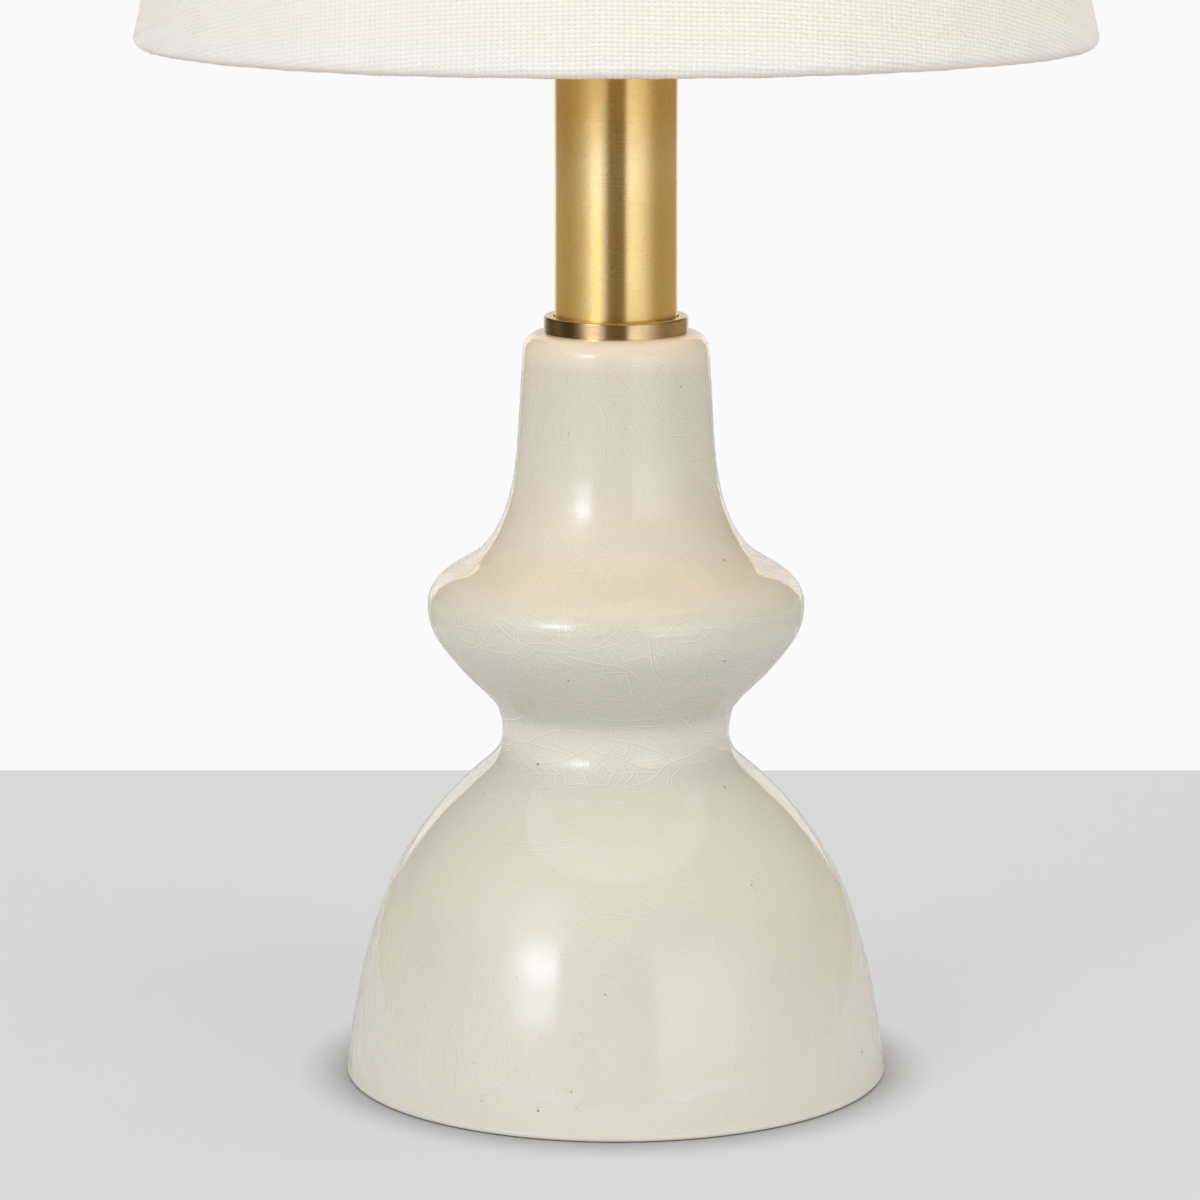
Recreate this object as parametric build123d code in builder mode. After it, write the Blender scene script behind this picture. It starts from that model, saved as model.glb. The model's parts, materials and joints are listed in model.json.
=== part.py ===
from build123d import *
import os
from math import atan2, cos, hypot, radians, sin, sqrt

# Accent lamp: crackle-glazed ceramic base, brass column and linen shade on a harp.
# Millimetres, +Z up, origin on the table under the lamp's axis, front towards -Y.

# General clearances
thread_clearance = 0.05
slip_clearance = 0.15
turn_clearance = 0.4
layer_gap = 0.05

# Felt pad
felt_thickness = 1.2
felt_inset = 2.0

# Ceramic outline: radius and height above the felt, stretched to the body's height
ceramic_height = 159.2
foot_radius = 58.15
dome_low = (54.3, 22.8)
dome_middle = (46.6, 44.3)
dome_high = (35.6, 59.4)
dome_end = (27.6, 66.8)
waist_low = (24.6, 70.9)
waist_high = (24.75, 77.0)
bowl_start = (26.2, 80.2)
bowl_low = (31.4, 85.5)
bowl_high = (36.8, 91.8)
belt = (40.14, 101.2)
belt_edge = (37.9, 106.3)
flare_low = (29.9, 111.7)
flare_high = (24.0, 120.1)
neck_low = (21.2, 132.4)
neck_high = (20.2, 148.0)
neck_edge = (19.7, 155.8)
neck_edge_round = 3.4

# Ceramic inside
ceramic_wall = 5.0
foot_ring_width = 7.5
floor_height = 12.8
floor_thickness = 6.0
ceramic_hole_radius = 7.0

# Cord inlet at the back of the foot
cord_radius = 3.5
cord_height = 6.8
bushing_wall = 1.4
bushing_flange_width = 1.6
bushing_flange_thickness = 1.4
bushing_round = 0.6
bushing_inner_end = 1.0

# Threaded pipe and its fastenings
pipe_radius = 4.9
pipe_bore_radius = 3.3
pipe_below_nut = 0.9
cushion_radius = 17.0
cushion_thickness = 2.0
washer_radius = 16.0
washer_thickness = 1.8
lock_washer_radius = 8.4
lock_washer_thickness = 1.6
lock_washer_split = 1.2
base_nut_flats = 17.0
base_nut_thickness = 4.2
column_nut_flats = 16.0
column_nut_thickness = 3.5

# Column: collar, tube and cap
tube_radius = 13.0
tube_wall = 1.0
tube_length = 62.0
collar_radius = 15.25
collar_height = 3.45
collar_rim = 1.1
collar_floor = 1.5
collar_edge = 0.35
boss_height = 6.0
spigot_length = 4.0
cap_radius = 14.2
cap_thickness = 3.0
cap_edge = 1.2

# Harp saddle
saddle_thickness = 1.4
saddle_width = 11.0
saddle_bend = 2.0
post_width = 4.0
post_spread = 27.0
post_height = 21.5
post_round = 1.5
shoulder_height = 6.5

# Harp: heights above the saddle's plate
harp_wire_radius = 1.4
harp_leg_start = 7.0
harp_leg_top = 41.0
harp_bulge = 42.0
harp_bulge_low = 70.0
harp_bulge_high = 109.0
harp_shoulder = 18.0
harp_height = 137.0
harp_round = 26.0
sleeve_length = 14.0
sleeve_wall = 0.5
sleeve_bead = 0.35
sleeve_bead_height = 1.2
stud_hub_radius = 4.6
stud_hub_drop = 2.4
stud_hub_roof = 1.0
stud_flange_radius = 8.0
stud_flange_thickness = 1.5
stud_thread_radius = 3.1
stud_thread_length = 11.0

# Lamp socket
hub_radius = 7.2
hub_height = 6.0
socket_cap_radius = 17.1
socket_cap_wall = 0.7
socket_cap_flare = 5.5
socket_cap_skirt = 8.0
socket_shell_radius = 16.3
socket_shell_wall = 0.5
socket_shell_length = 43.0
socket_shell_insert = 6.0
socket_bead = 0.5
liner_wall = 0.7
liner_margin = 2.0
socket_body_radius = 14.5
socket_body_length = 22.0
screw_shell_wall = 0.5
screw_shell_length = 22.0
screw_shell_hole_radius = 9.0
contact_width = 5.0
contact_reach = 5.0
contact_thickness = 0.8
contact_height = 1.4
terminal_height = 6.0
terminal_flat = 1.9
terminal_slot = 8.0
terminal_head_radius = 2.6
terminal_head = 1.4
terminal_shank_radius = 1.4
terminal_shank = 4.0
set_screw_radius = 1.5
set_screw_length = 4.0

# Switch
switch_height = 14.5
switch_shaft_radius = 2.0
switch_shaft_clearance = 0.08
switch_depth = 6.0
knob_gap = 2.0
knob_hub_radius = 4.0
knob_hub_length = 6.0
knob_hub_wall = 1.0
knob_length = 13.0
knob_width = 13.0
knob_thickness = 3.4
knob_corner = 4.3
knob_round = 1.0

# Bulb
bulb_cap_radius = 13.0
bulb_cap_wall = 0.4
bulb_cap_length = 19.0
insulator_height = 2.4
insulator_radius = 10.0
insulator_foot_radius = 6.0
tip_radius = 4.5
tip_foot_radius = 3.6
tip_height = 1.2
glass_wall = 0.8
glass_insert = 6.0
glass_neck_radius = 12.3
glass_neck_length = 9.0
glass_swell = (18.6, 24.5)
glass_radius = 23.7
glass_widest = 42.0
glass_length = 66.0
stem_radius = 3.0
stem_flare_height = 8.0
stem_length = 20.0
lead_radius = 0.4
lead_rise = 14.0
lead_spacing = 1.8
filament_radius = 0.9
filament_length = 14.0

# Shade
spider_drop = 10.55
shade_height = 165.0
shade_bottom_radius = 100.45
shade_top_radius = 63.45
fabric_thickness = 0.5
shade_liner_thickness = 0.3
ring_wire_radius = 1.0
hem_length = 8.0
arm_count = 3
arm_wire_radius = 0.9
arm_first_angle = 90.0
arm_bend = 5.0
arm_end = 3.0
hub_washer_radius = 12.5
hub_washer_thickness = 1.5

# Finial
finial_base_radius = 7.0
finial_base_height = 2.4
finial_neck_radius = 4.6
finial_neck_height = 7.0
finial_ball_radius = 7.5
finial_tip_radius = 2.6
finial_tip_height = 4.0
finial_edge = 0.8

# Heights that follow from the sizes above
ceramic_bottom = felt_thickness
ceramic_top = ceramic_bottom + ceramic_height
outline_stretch = (ceramic_height - neck_edge_round) / neck_edge[1]
floor_underside = ceramic_bottom + floor_height
floor_top = floor_underside + floor_thickness
cavity_top = ceramic_top - ceramic_wall
cord_centre = ceramic_bottom + cord_height
cushion_bottom = floor_underside - cushion_thickness
washer_bottom = cushion_bottom - washer_thickness
lock_washer_bottom = washer_bottom - lock_washer_thickness
base_nut_bottom = lock_washer_bottom - base_nut_thickness
pipe_bottom = base_nut_bottom - pipe_below_nut
collar_top = ceramic_top + collar_height
tube_bottom = ceramic_top + collar_floor
tube_top = tube_bottom + tube_length
cap_top = tube_top + cap_thickness
saddle_bottom = cap_top + column_nut_thickness
saddle_top = saddle_bottom + saddle_thickness
shoulder_top = saddle_bottom + shoulder_height
hub_top = saddle_top + hub_height
socket_cap_shoulder = hub_top + socket_cap_flare
socket_cap_top = socket_cap_shoulder + socket_cap_skirt
socket_shell_bottom = socket_cap_top - socket_shell_insert
socket_shell_top = socket_shell_bottom + socket_shell_length
body_bottom = socket_cap_shoulder
body_top = body_bottom + socket_body_length
switch_centre = body_bottom + switch_height
terminal_centre = body_bottom + terminal_height
tip_bottom = body_top + contact_height + contact_thickness + layer_gap
insulator_bottom = tip_bottom + tip_height
bulb_cap_bottom = insulator_bottom + insulator_height
bulb_cap_top = bulb_cap_bottom + bulb_cap_length
glass_bottom = bulb_cap_top - glass_insert
glass_top = glass_bottom + glass_length
stem_top = glass_bottom + stem_length
filament_centre = stem_top + lead_rise
harp_top = saddle_top + harp_height
sleeve_bottom = shoulder_top + turn_clearance
stud_hub_bottom = harp_top - harp_wire_radius - stud_hub_drop
stud_flange_bottom = harp_top + harp_wire_radius + stud_hub_roof
stud_flange_top = stud_flange_bottom + stud_flange_thickness
stud_top = stud_flange_top + stud_thread_length
hub_washer_top = stud_flange_top + hub_washer_thickness
arm_centre = stud_flange_top + hub_washer_thickness / 2

# Radii and places that follow from the sizes above
felt_radius = foot_radius - felt_inset
foot_inner_radius = foot_radius - foot_ring_width
bushing_radius = cord_radius + bushing_wall
notch_radius = bushing_radius + slip_clearance
pipe_hole_radius = pipe_radius + thread_clearance
spigot_radius = ceramic_hole_radius - slip_clearance
tube_bore_radius = tube_radius - tube_wall
boss_radius = tube_bore_radius - slip_clearance
liner_outer = socket_shell_radius - socket_shell_wall - layer_gap
liner_inner = liner_outer - liner_wall
switch_hole_radius = switch_shaft_radius + switch_shaft_clearance
switch_pass_radius = switch_shaft_radius + turn_clearance
switch_inner_end = socket_body_radius - switch_depth
knob_start = socket_shell_radius + knob_gap
knob_hub_end = knob_start + knob_hub_length
screw_shell_inner = bulb_cap_radius + turn_clearance
screw_shell_outer = screw_shell_inner + screw_shell_wall
post_outer = post_spread + saddle_thickness
leg_place = post_outer + turn_clearance + harp_wire_radius
sleeve_place = (post_spread + leg_place + harp_wire_radius) / 2
sleeve_inner = hypot(sleeve_place - post_spread, post_width / 2) + turn_clearance
sleeve_outer = sleeve_inner + sleeve_wall

# The shade's wall in section: both hems fold round their wire rings
fold_radius = fabric_thickness + shade_liner_thickness + 2 * layer_gap + ring_wire_radius
bottom_ring_radius = shade_bottom_radius - fold_radius
top_ring_radius = shade_top_radius - fold_radius
top_ring_height = arm_centre + spider_drop
bottom_ring_height = top_ring_height - shade_height + 2 * fold_radius
wall_length = hypot(bottom_ring_radius - top_ring_radius, top_ring_height - bottom_ring_height)
wall_lean = atan2(bottom_ring_radius - top_ring_radius, top_ring_height - bottom_ring_height)


def lifted(point):
    """A point of the ceramic outline at its height above the table."""
    return (point[0], point[1] * outline_stretch + ceramic_bottom)


def inside(point):
    """The ceramic's inner wall at the height of an outline point."""
    return (point[0] - ceramic_wall, point[1] * outline_stretch + ceramic_bottom)


def wall_point(along, depth):
    """A point of the shade's section, up the wall from the bottom ring and in from its outer face."""
    outward = fold_radius - depth
    radius = bottom_ring_radius - along * sin(wall_lean) + outward * cos(wall_lean)
    height = bottom_ring_height + along * cos(wall_lean) + outward * sin(wall_lean)
    return (radius, height)


def glass_outline(inset):
    """Closed half outline of the bulb's glass, drawn in from its outer face by inset."""
    neck = glass_neck_radius - inset
    start = Line((0, glass_bottom), (neck, glass_bottom))
    straight = Line(start @ 1, (neck, glass_bottom + glass_neck_length))
    swell = Spline(
        straight @ 1,
        (glass_swell[0] - inset, glass_bottom + glass_swell[1]),
        (glass_radius - inset, glass_bottom + glass_widest),
        tangents=((0, 1), (0, 1)),
    )
    crown = Spline(swell @ 1, (0, glass_top - inset), tangents=((0, 1), (-1, 0)))
    Line(crown @ 1, start @ 0)


def ring(outer, inner, bottom, height):
    """A flat ring or a tube about the lamp's axis."""
    with BuildPart() as piece:
        with BuildSketch(Plane.XY.offset(bottom)):
            Circle(outer)
            Circle(inner, mode=Mode.SUBTRACT)
        extrude(amount=height)
    return piece


def hex_nut(flats, bottom, height):
    """A hexagon nut on the lamp pipe."""
    with BuildPart() as piece:
        with BuildSketch(Plane.XY.offset(bottom)):
            RegularPolygon(flats / 2, 6, major_radius=False)
            Circle(pipe_hole_radius, mode=Mode.SUBTRACT)
        extrude(amount=height)
    return piece


def turned(points):
    """A solid turned about the lamp's axis from the corners of its half section."""
    with BuildPart() as piece:
        with BuildSketch(Plane.XZ):
            with BuildLine():
                Polyline(*points, close=True)
            make_face()
        revolve(axis=Axis.Z)
    return piece


def harp_sleeve(side):
    """A sliding sleeve that locks one harp leg to its post, with a bead at each end."""
    with BuildPart() as piece:
        with BuildSketch(Plane.XY.offset(sleeve_bottom)):
            with Locations((side * sleeve_place, 0)):
                Circle(sleeve_outer)
        extrude(amount=sleeve_length)
        with BuildSketch(Plane.XY.offset(sleeve_bottom)):
            with Locations((side * sleeve_place, 0)):
                Circle(sleeve_outer + sleeve_bead)
        extrude(amount=sleeve_bead_height)
        with BuildSketch(Plane.XY.offset(sleeve_bottom + sleeve_length)):
            with Locations((side * sleeve_place, 0)):
                Circle(sleeve_outer + sleeve_bead)
        extrude(amount=-sleeve_bead_height)
        with BuildSketch(Plane.XY.offset(sleeve_bottom)):
            with Locations((side * sleeve_place, 0)):
                Circle(sleeve_inner)
        extrude(amount=sleeve_length, mode=Mode.SUBTRACT)
    return piece


# Felt pad under the foot
with BuildPart() as base_felt:
    with BuildSketch():
        Circle(felt_radius)
    extrude(amount=felt_thickness)

# Ceramic body: a slip-cast shell with a floor for the pipe, a foot ring and a cord notch
dome_lean = (-0.09, 1)
dome_end_lean = (-1, 0.84)
bowl_lean = (0.8, 1)
upright = (0, 1)
neck_lean = ((neck_edge[0] - neck_high[0]) / (neck_edge[1] - neck_high[1]), 1)
even_pace = (1, 1)
with BuildPart() as ceramic_body:
    with BuildSketch(Plane.XZ):
        with BuildLine():
            dome = Spline(
                (foot_radius, ceramic_bottom),
                lifted(dome_low),
                lifted(dome_middle),
                lifted(dome_high),
                lifted(dome_end),
                tangents=(dome_lean, dome_end_lean),
            )
            waist = Spline(
                dome @ 1,
                lifted(waist_low),
                lifted(waist_high),
                lifted(bowl_start),
                tangents=(dome_end_lean, bowl_lean),
            )
            bowl = Spline(
                waist @ 1,
                lifted(bowl_low),
                lifted(bowl_high),
                lifted(belt),
                tangents=(bowl_lean, upright),
            )
            flare = Spline(
                bowl @ 1,
                lifted(belt_edge),
                lifted(flare_low),
                lifted(flare_high),
                lifted(neck_low),
                lifted(neck_high),
                tangents=(upright, neck_lean),
                tangent_scalars=even_pace,
            )
            neck = Line(flare @ 1, lifted(neck_edge))
            lip = TangentArc(
                neck @ 1,
                (neck_edge[0] - neck_edge_round, ceramic_top),
                tangent=neck % 1,
            )
            top_face = Line(lip @ 1, (ceramic_hole_radius, ceramic_top))
            pipe_hole = Line(top_face @ 1, (ceramic_hole_radius, ceramic_bottom))
            Line(pipe_hole @ 1, dome @ 0)
        make_face()
    revolve(axis=Axis.Z)
    # Cavity above the floor, one wall inside the outline
    with BuildSketch(Plane.XZ):
        with BuildLine():
            cavity_floor = Line((0, floor_top), (dome_low[0] - ceramic_wall, floor_top))
            cavity_wall = Spline(
                cavity_floor @ 1,
                inside(dome_middle),
                inside(dome_high),
                inside(waist_low),
                inside(waist_high),
                inside(bowl_high),
                inside(belt),
                inside(flare_low),
                inside(neck_low),
            )
            cavity_neck = Line(cavity_wall @ 1, (neck_edge[0] - ceramic_wall, cavity_top))
            cavity_roof = Line(cavity_neck @ 1, (0, cavity_top))
            Line(cavity_roof @ 1, cavity_floor @ 0)
        make_face()
    revolve(axis=Axis.Z, mode=Mode.SUBTRACT)
    # Recess under the floor for the nut and the cord
    with BuildSketch(Plane.XY.offset(ceramic_bottom)):
        Circle(foot_inner_radius)
    extrude(amount=floor_height, mode=Mode.SUBTRACT)
    # Cord notch through the back of the foot ring
    with BuildSketch(Plane.XZ):
        with Locations((0, cord_centre)):
            Circle(notch_radius)
        with Locations((0, cord_centre - cord_height / 2)):
            Rectangle(2 * notch_radius, cord_height)
    extrude(amount=-2 * foot_radius, mode=Mode.SUBTRACT)

# Cord bushing: a plug in the notch, its outer flange shaped to the ceramic
bushing_start = foot_inner_radius - bushing_inner_end
bushing_end = foot_radius + bushing_flange_thickness
with BuildPart() as cord_bushing:
    with BuildSketch(Plane.XZ.offset(-bushing_start)):
        with Locations((0, cord_centre)):
            Circle(bushing_radius)
        with Locations((0, (cord_centre + ceramic_bottom + slip_clearance) / 2)):
            Rectangle(2 * bushing_radius, cord_height - slip_clearance)
    extrude(amount=-(bushing_end - bushing_start))
    with BuildSketch(Plane.XZ.offset(-foot_inner_radius)):
        with Locations((0, cord_centre)):
            Circle(bushing_radius + bushing_flange_width)
    extrude(amount=-(bushing_end - foot_inner_radius))
    fillet(cord_bushing.faces().sort_by(Axis.Y)[-1].edges(), bushing_round)
    with BuildSketch(Plane.XZ):
        with Locations((0, cord_centre)):
            Circle(cord_radius)
    extrude(amount=-2 * foot_radius, mode=Mode.SUBTRACT)
    add(ceramic_body.part, mode=Mode.SUBTRACT)

# Fastenings under the ceramic floor and the pipe that ties the lamp together
base_cushion_washer = ring(cushion_radius, pipe_hole_radius, cushion_bottom, cushion_thickness)
base_washer = ring(washer_radius, pipe_hole_radius, washer_bottom, washer_thickness)
with BuildPart() as base_lock_washer:
    with BuildSketch(Plane.XY.offset(lock_washer_bottom)):
        Circle(lock_washer_radius)
        Circle(pipe_hole_radius, mode=Mode.SUBTRACT)
        with Locations((lock_washer_radius, 0)):
            Rectangle(2 * lock_washer_radius, lock_washer_split, mode=Mode.SUBTRACT)
    extrude(amount=lock_washer_thickness)
base_nut = hex_nut(base_nut_flats, base_nut_bottom, base_nut_thickness)
lamp_pipe = ring(pipe_radius, pipe_bore_radius, pipe_bottom, hub_top - pipe_bottom)

# Brass collar: a dish that the tube stands in, with a spigot down into the ceramic
with BuildPart() as column_collar:
    with BuildSketch(Plane.XZ) as collar_section:
        with BuildLine():
            Polyline(
                (pipe_hole_radius, ceramic_top - spigot_length),
                (spigot_radius, ceramic_top - spigot_length),
                (spigot_radius, ceramic_top),
                (collar_radius, ceramic_top),
                (collar_radius, collar_top),
                (collar_radius - collar_rim, collar_top),
                (collar_radius - collar_rim, tube_bottom),
                (boss_radius, tube_bottom),
                (boss_radius, tube_bottom + boss_height),
                (pipe_hole_radius, tube_bottom + boss_height),
                close=True,
            )
        make_face()
        rim_level = (collar_top - layer_gap, collar_top + layer_gap)
        fillet(collar_section.vertices().filter_by_position(Axis.Y, *rim_level), collar_edge)
    revolve(axis=Axis.Z)

# Brass column tube and the cap that closes it
column_tube = ring(tube_radius, tube_bore_radius, tube_bottom, tube_length)
with BuildPart() as column_cap:
    with BuildSketch(Plane.XY.offset(tube_top - boss_height)):
        Circle(boss_radius)
    extrude(amount=boss_height)
    with BuildSketch(Plane.XY.offset(tube_top)):
        Circle(cap_radius)
    extrude(amount=cap_thickness)
    fillet(column_cap.edges().group_by(Axis.Z)[-1], cap_edge)
    with BuildSketch(Plane.XY.offset(cap_top)):
        Circle(pipe_hole_radius)
    extrude(amount=-(cap_thickness + boss_height), mode=Mode.SUBTRACT)
column_nut = hex_nut(column_nut_flats, cap_top, column_nut_thickness)

# Harp saddle: a bent strip with two upright posts
with BuildPart() as harp_saddle:
    with BuildSketch(Plane.XZ) as saddle_section:
        with Locations((0, saddle_bottom + post_height / 2)):
            Rectangle(2 * post_outer, post_height)
        fillet(saddle_section.vertices().group_by(Axis.Y)[0], saddle_bend + saddle_thickness)
    extrude(amount=saddle_width / 2, both=True)
    with BuildSketch(Plane.XZ) as saddle_inside:
        with Locations((0, saddle_top + post_height / 2)):
            Rectangle(2 * post_spread, post_height)
        fillet(saddle_inside.vertices().group_by(Axis.Y)[0], saddle_bend)
    extrude(amount=saddle_width, both=True, mode=Mode.SUBTRACT)
    with BuildSketch(Plane.YZ):
        for side in (-1, 1):
            with Locations((side * (post_width + saddle_width) / 2, shoulder_top + post_height / 2)):
                Rectangle(saddle_width, post_height)
    extrude(amount=2 * post_outer, both=True, mode=Mode.SUBTRACT)
    post_tips = harp_saddle.edges().filter_by(Axis.X).group_by(Axis.Z)[-1]
    fillet(post_tips, post_round)
    with BuildSketch(Plane.XY.offset(saddle_bottom)):
        Circle(pipe_hole_radius)
    extrude(amount=saddle_thickness, mode=Mode.SUBTRACT)

# Harp: one bent wire, with a turned stud on its top
with BuildPart() as harp_wire:
    with BuildLine(Plane.XZ):
        FilletPolyline(
            (-leg_place, saddle_top + harp_leg_start),
            (-leg_place, saddle_top + harp_leg_top),
            (-harp_bulge, saddle_top + harp_bulge_low),
            (-harp_bulge, saddle_top + harp_bulge_high),
            (-harp_shoulder, harp_top),
            (harp_shoulder, harp_top),
            (harp_bulge, saddle_top + harp_bulge_high),
            (harp_bulge, saddle_top + harp_bulge_low),
            (leg_place, saddle_top + harp_leg_top),
            (leg_place, saddle_top + harp_leg_start),
            radius=harp_round,
        )
    with BuildSketch(Plane.XY.offset(saddle_top + harp_leg_start)):
        with Locations((-leg_place, 0)):
            Circle(harp_wire_radius)
    sweep()

with BuildPart() as harp_stud:
    with BuildSketch(Plane.XY.offset(stud_hub_bottom)):
        Circle(stud_hub_radius)
    extrude(amount=stud_flange_bottom - stud_hub_bottom)
    with BuildSketch(Plane.XY.offset(stud_flange_bottom)):
        Circle(stud_flange_radius)
    extrude(amount=stud_flange_thickness)
    with BuildSketch(Plane.XY.offset(stud_flange_top)):
        Circle(stud_thread_radius)
    extrude(amount=stud_thread_length)
    with BuildSketch(Plane.YZ):
        with Locations((0, harp_top)):
            Circle(harp_wire_radius + slip_clearance)
    extrude(amount=stud_hub_radius, both=True, mode=Mode.SUBTRACT)

harp_sleeve_left = harp_sleeve(-1)
harp_sleeve_right = harp_sleeve(1)

# Socket cap: a hub on the pipe that opens into a cup
with BuildPart() as socket_cap:
    with BuildSketch(Plane.XZ):
        with BuildLine():
            cup_inner = socket_cap_radius - socket_cap_wall
            hub_base = Polyline(
                (pipe_hole_radius, hub_top),
                (pipe_hole_radius, saddle_top),
                (hub_radius, saddle_top),
                (hub_radius, hub_top - socket_cap_wall),
            )
            cup_outside = Spline(
                hub_base @ 1,
                (socket_cap_radius, socket_cap_shoulder),
                tangents=((1, 0), upright),
            )
            cup_rim = Polyline(
                cup_outside @ 1,
                (socket_cap_radius, socket_cap_top),
                (cup_inner, socket_cap_top),
                (cup_inner, socket_cap_shoulder),
            )
            cup_inside = Spline(
                cup_rim @ 1,
                (hub_radius, hub_top),
                tangents=((0, -1), (-1, 0)),
            )
            Line(cup_inside @ 1, hub_base @ 0)
        make_face()
    revolve(axis=Axis.Z)
    with BuildSketch(Plane.XZ):
        with Locations((0, saddle_top + (hub_height - socket_cap_wall) / 2)):
            Circle(set_screw_radius + thread_clearance)
    extrude(amount=-2 * hub_radius, mode=Mode.SUBTRACT)

with BuildPart() as socket_set_screw:
    with BuildSketch(Plane.XZ.offset(-pipe_hole_radius)):
        with Locations((0, saddle_top + (hub_height - socket_cap_wall) / 2)):
            Circle(set_screw_radius)
    extrude(amount=-set_screw_length)

# Socket shell with a rolled rim, and the paper liner inside it
with BuildPart() as socket_shell:
    with BuildSketch(Plane.XY.offset(socket_shell_bottom)):
        Circle(socket_shell_radius)
    extrude(amount=socket_shell_length)
    with BuildSketch(Plane.XZ):
        with Locations((socket_shell_radius - socket_shell_wall / 2, socket_shell_top - socket_bead)):
            Circle(socket_bead + socket_shell_wall / 2)
    revolve(axis=Axis.Z)
    with BuildSketch(Plane.XY.offset(socket_shell_bottom)):
        Circle(socket_shell_radius - socket_shell_wall)
    extrude(amount=socket_shell_length + socket_bead, mode=Mode.SUBTRACT)
    with BuildSketch(Plane.XZ):
        with Locations((0, switch_centre)):
            Circle(switch_pass_radius)
    extrude(amount=2 * socket_shell_radius, mode=Mode.SUBTRACT)

with BuildPart() as socket_liner:
    with BuildSketch(Plane.XY.offset(socket_shell_bottom)):
        Circle(liner_outer)
        Circle(liner_inner, mode=Mode.SUBTRACT)
    extrude(amount=socket_shell_length - liner_margin)
    with BuildSketch(Plane.XZ):
        with Locations((0, switch_centre)):
            Circle(switch_pass_radius)
    extrude(amount=2 * socket_shell_radius, mode=Mode.SUBTRACT)

# Moulded socket body with its switch bore and two terminal flats
terminal_seat = socket_body_radius - terminal_flat
with BuildPart() as socket_body:
    with BuildSketch(Plane.XY.offset(body_bottom)):
        Circle(socket_body_radius)
    extrude(amount=socket_body_length)
    with BuildSketch(Plane.XZ.offset(switch_inner_end)):
        with Locations((0, switch_centre)):
            Circle(switch_hole_radius)
    extrude(amount=switch_depth, mode=Mode.SUBTRACT)
    with BuildSketch(Plane.XY.offset(terminal_centre)):
        for side in (-1, 1):
            with Locations((side * (terminal_seat + terminal_flat), 0)):
                Rectangle(2 * terminal_flat, terminal_slot)
    extrude(amount=terminal_slot / 2, both=True, mode=Mode.SUBTRACT)
    with BuildSketch(Plane.YZ):
        with Locations((0, terminal_centre)):
            Circle(terminal_shank_radius + thread_clearance)
    extrude(amount=terminal_seat, both=True, mode=Mode.SUBTRACT)
    with BuildSketch(Plane.XY.offset(terminal_centre)):
        Rectangle(2 * (terminal_seat - terminal_shank), terminal_slot)
    extrude(amount=terminal_slot / 2, both=True)

with BuildPart() as terminal_screws:
    with BuildSketch(Plane.YZ.offset(terminal_seat)):
        with Locations((0, terminal_centre)):
            Circle(terminal_head_radius)
    extrude(amount=terminal_head)
    with BuildSketch(Plane.YZ.offset(terminal_seat)):
        with Locations((0, terminal_centre)):
            Circle(terminal_shank_radius)
    extrude(amount=-terminal_shank)
    mirror(about=Plane.YZ)

# Screw shell and centre contact on top of the socket body
screw_shell_floor = body_top + screw_shell_wall
socket_screw_shell = turned(
    [
        (screw_shell_hole_radius, body_top),
        (screw_shell_outer, body_top),
        (screw_shell_outer, body_top + screw_shell_length),
        (screw_shell_inner, body_top + screw_shell_length),
        (screw_shell_inner, screw_shell_floor),
        (screw_shell_hole_radius, screw_shell_floor),
    ]
)
with BuildPart() as socket_centre_contact:
    with BuildSketch(Plane.XZ):
        with BuildLine():
            Polyline(
                (-contact_reach, body_top),
                (-contact_reach / 2, body_top),
                (0, body_top + contact_height),
                (contact_reach, body_top + contact_height),
                (contact_reach, body_top + contact_height + contact_thickness),
                (0, body_top + contact_height + contact_thickness),
                (-contact_reach / 2, body_top + contact_thickness),
                (-contact_reach, body_top + contact_thickness),
                close=True,
            )
        make_face()
    extrude(amount=contact_width / 2, both=True)

# Switch shaft and its paddle knob, pointing to the front
with BuildPart() as switch_shaft:
    with BuildSketch(Plane.XZ.offset(switch_inner_end + layer_gap)):
        with Locations((0, switch_centre)):
            Circle(switch_shaft_radius)
    extrude(amount=knob_hub_end - knob_hub_wall - switch_inner_end - 2 * layer_gap)

with BuildPart() as switch_knob:
    with BuildSketch(Plane.YZ):
        with Locations((-(knob_hub_end - knob_hub_wall + knob_length / 2), switch_centre)):
            RectangleRounded(knob_length, knob_width, knob_corner)
    extrude(amount=knob_thickness / 2, both=True)
    fillet(switch_knob.faces().filter_by(Axis.X).edges(), knob_round)
    with BuildSketch(Plane.XZ.offset(knob_start)):
        with Locations((0, switch_centre)):
            Circle(knob_hub_radius)
    extrude(amount=knob_hub_length)
    with BuildSketch(Plane.XZ.offset(knob_start)):
        with Locations((0, switch_centre)):
            Circle(switch_shaft_radius + thread_clearance)
    extrude(amount=knob_hub_length - knob_hub_wall, mode=Mode.SUBTRACT)

# Bulb: hollow glass, screw cap, insulator, tip, stem and filament
with BuildPart() as bulb_glass:
    with BuildSketch(Plane.XZ):
        with BuildLine():
            glass_outline(0)
        make_face()
    revolve(axis=Axis.Z)
    with BuildSketch(Plane.XZ):
        with BuildLine():
            glass_outline(glass_wall)
        make_face()
    revolve(axis=Axis.Z, mode=Mode.SUBTRACT)

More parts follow.
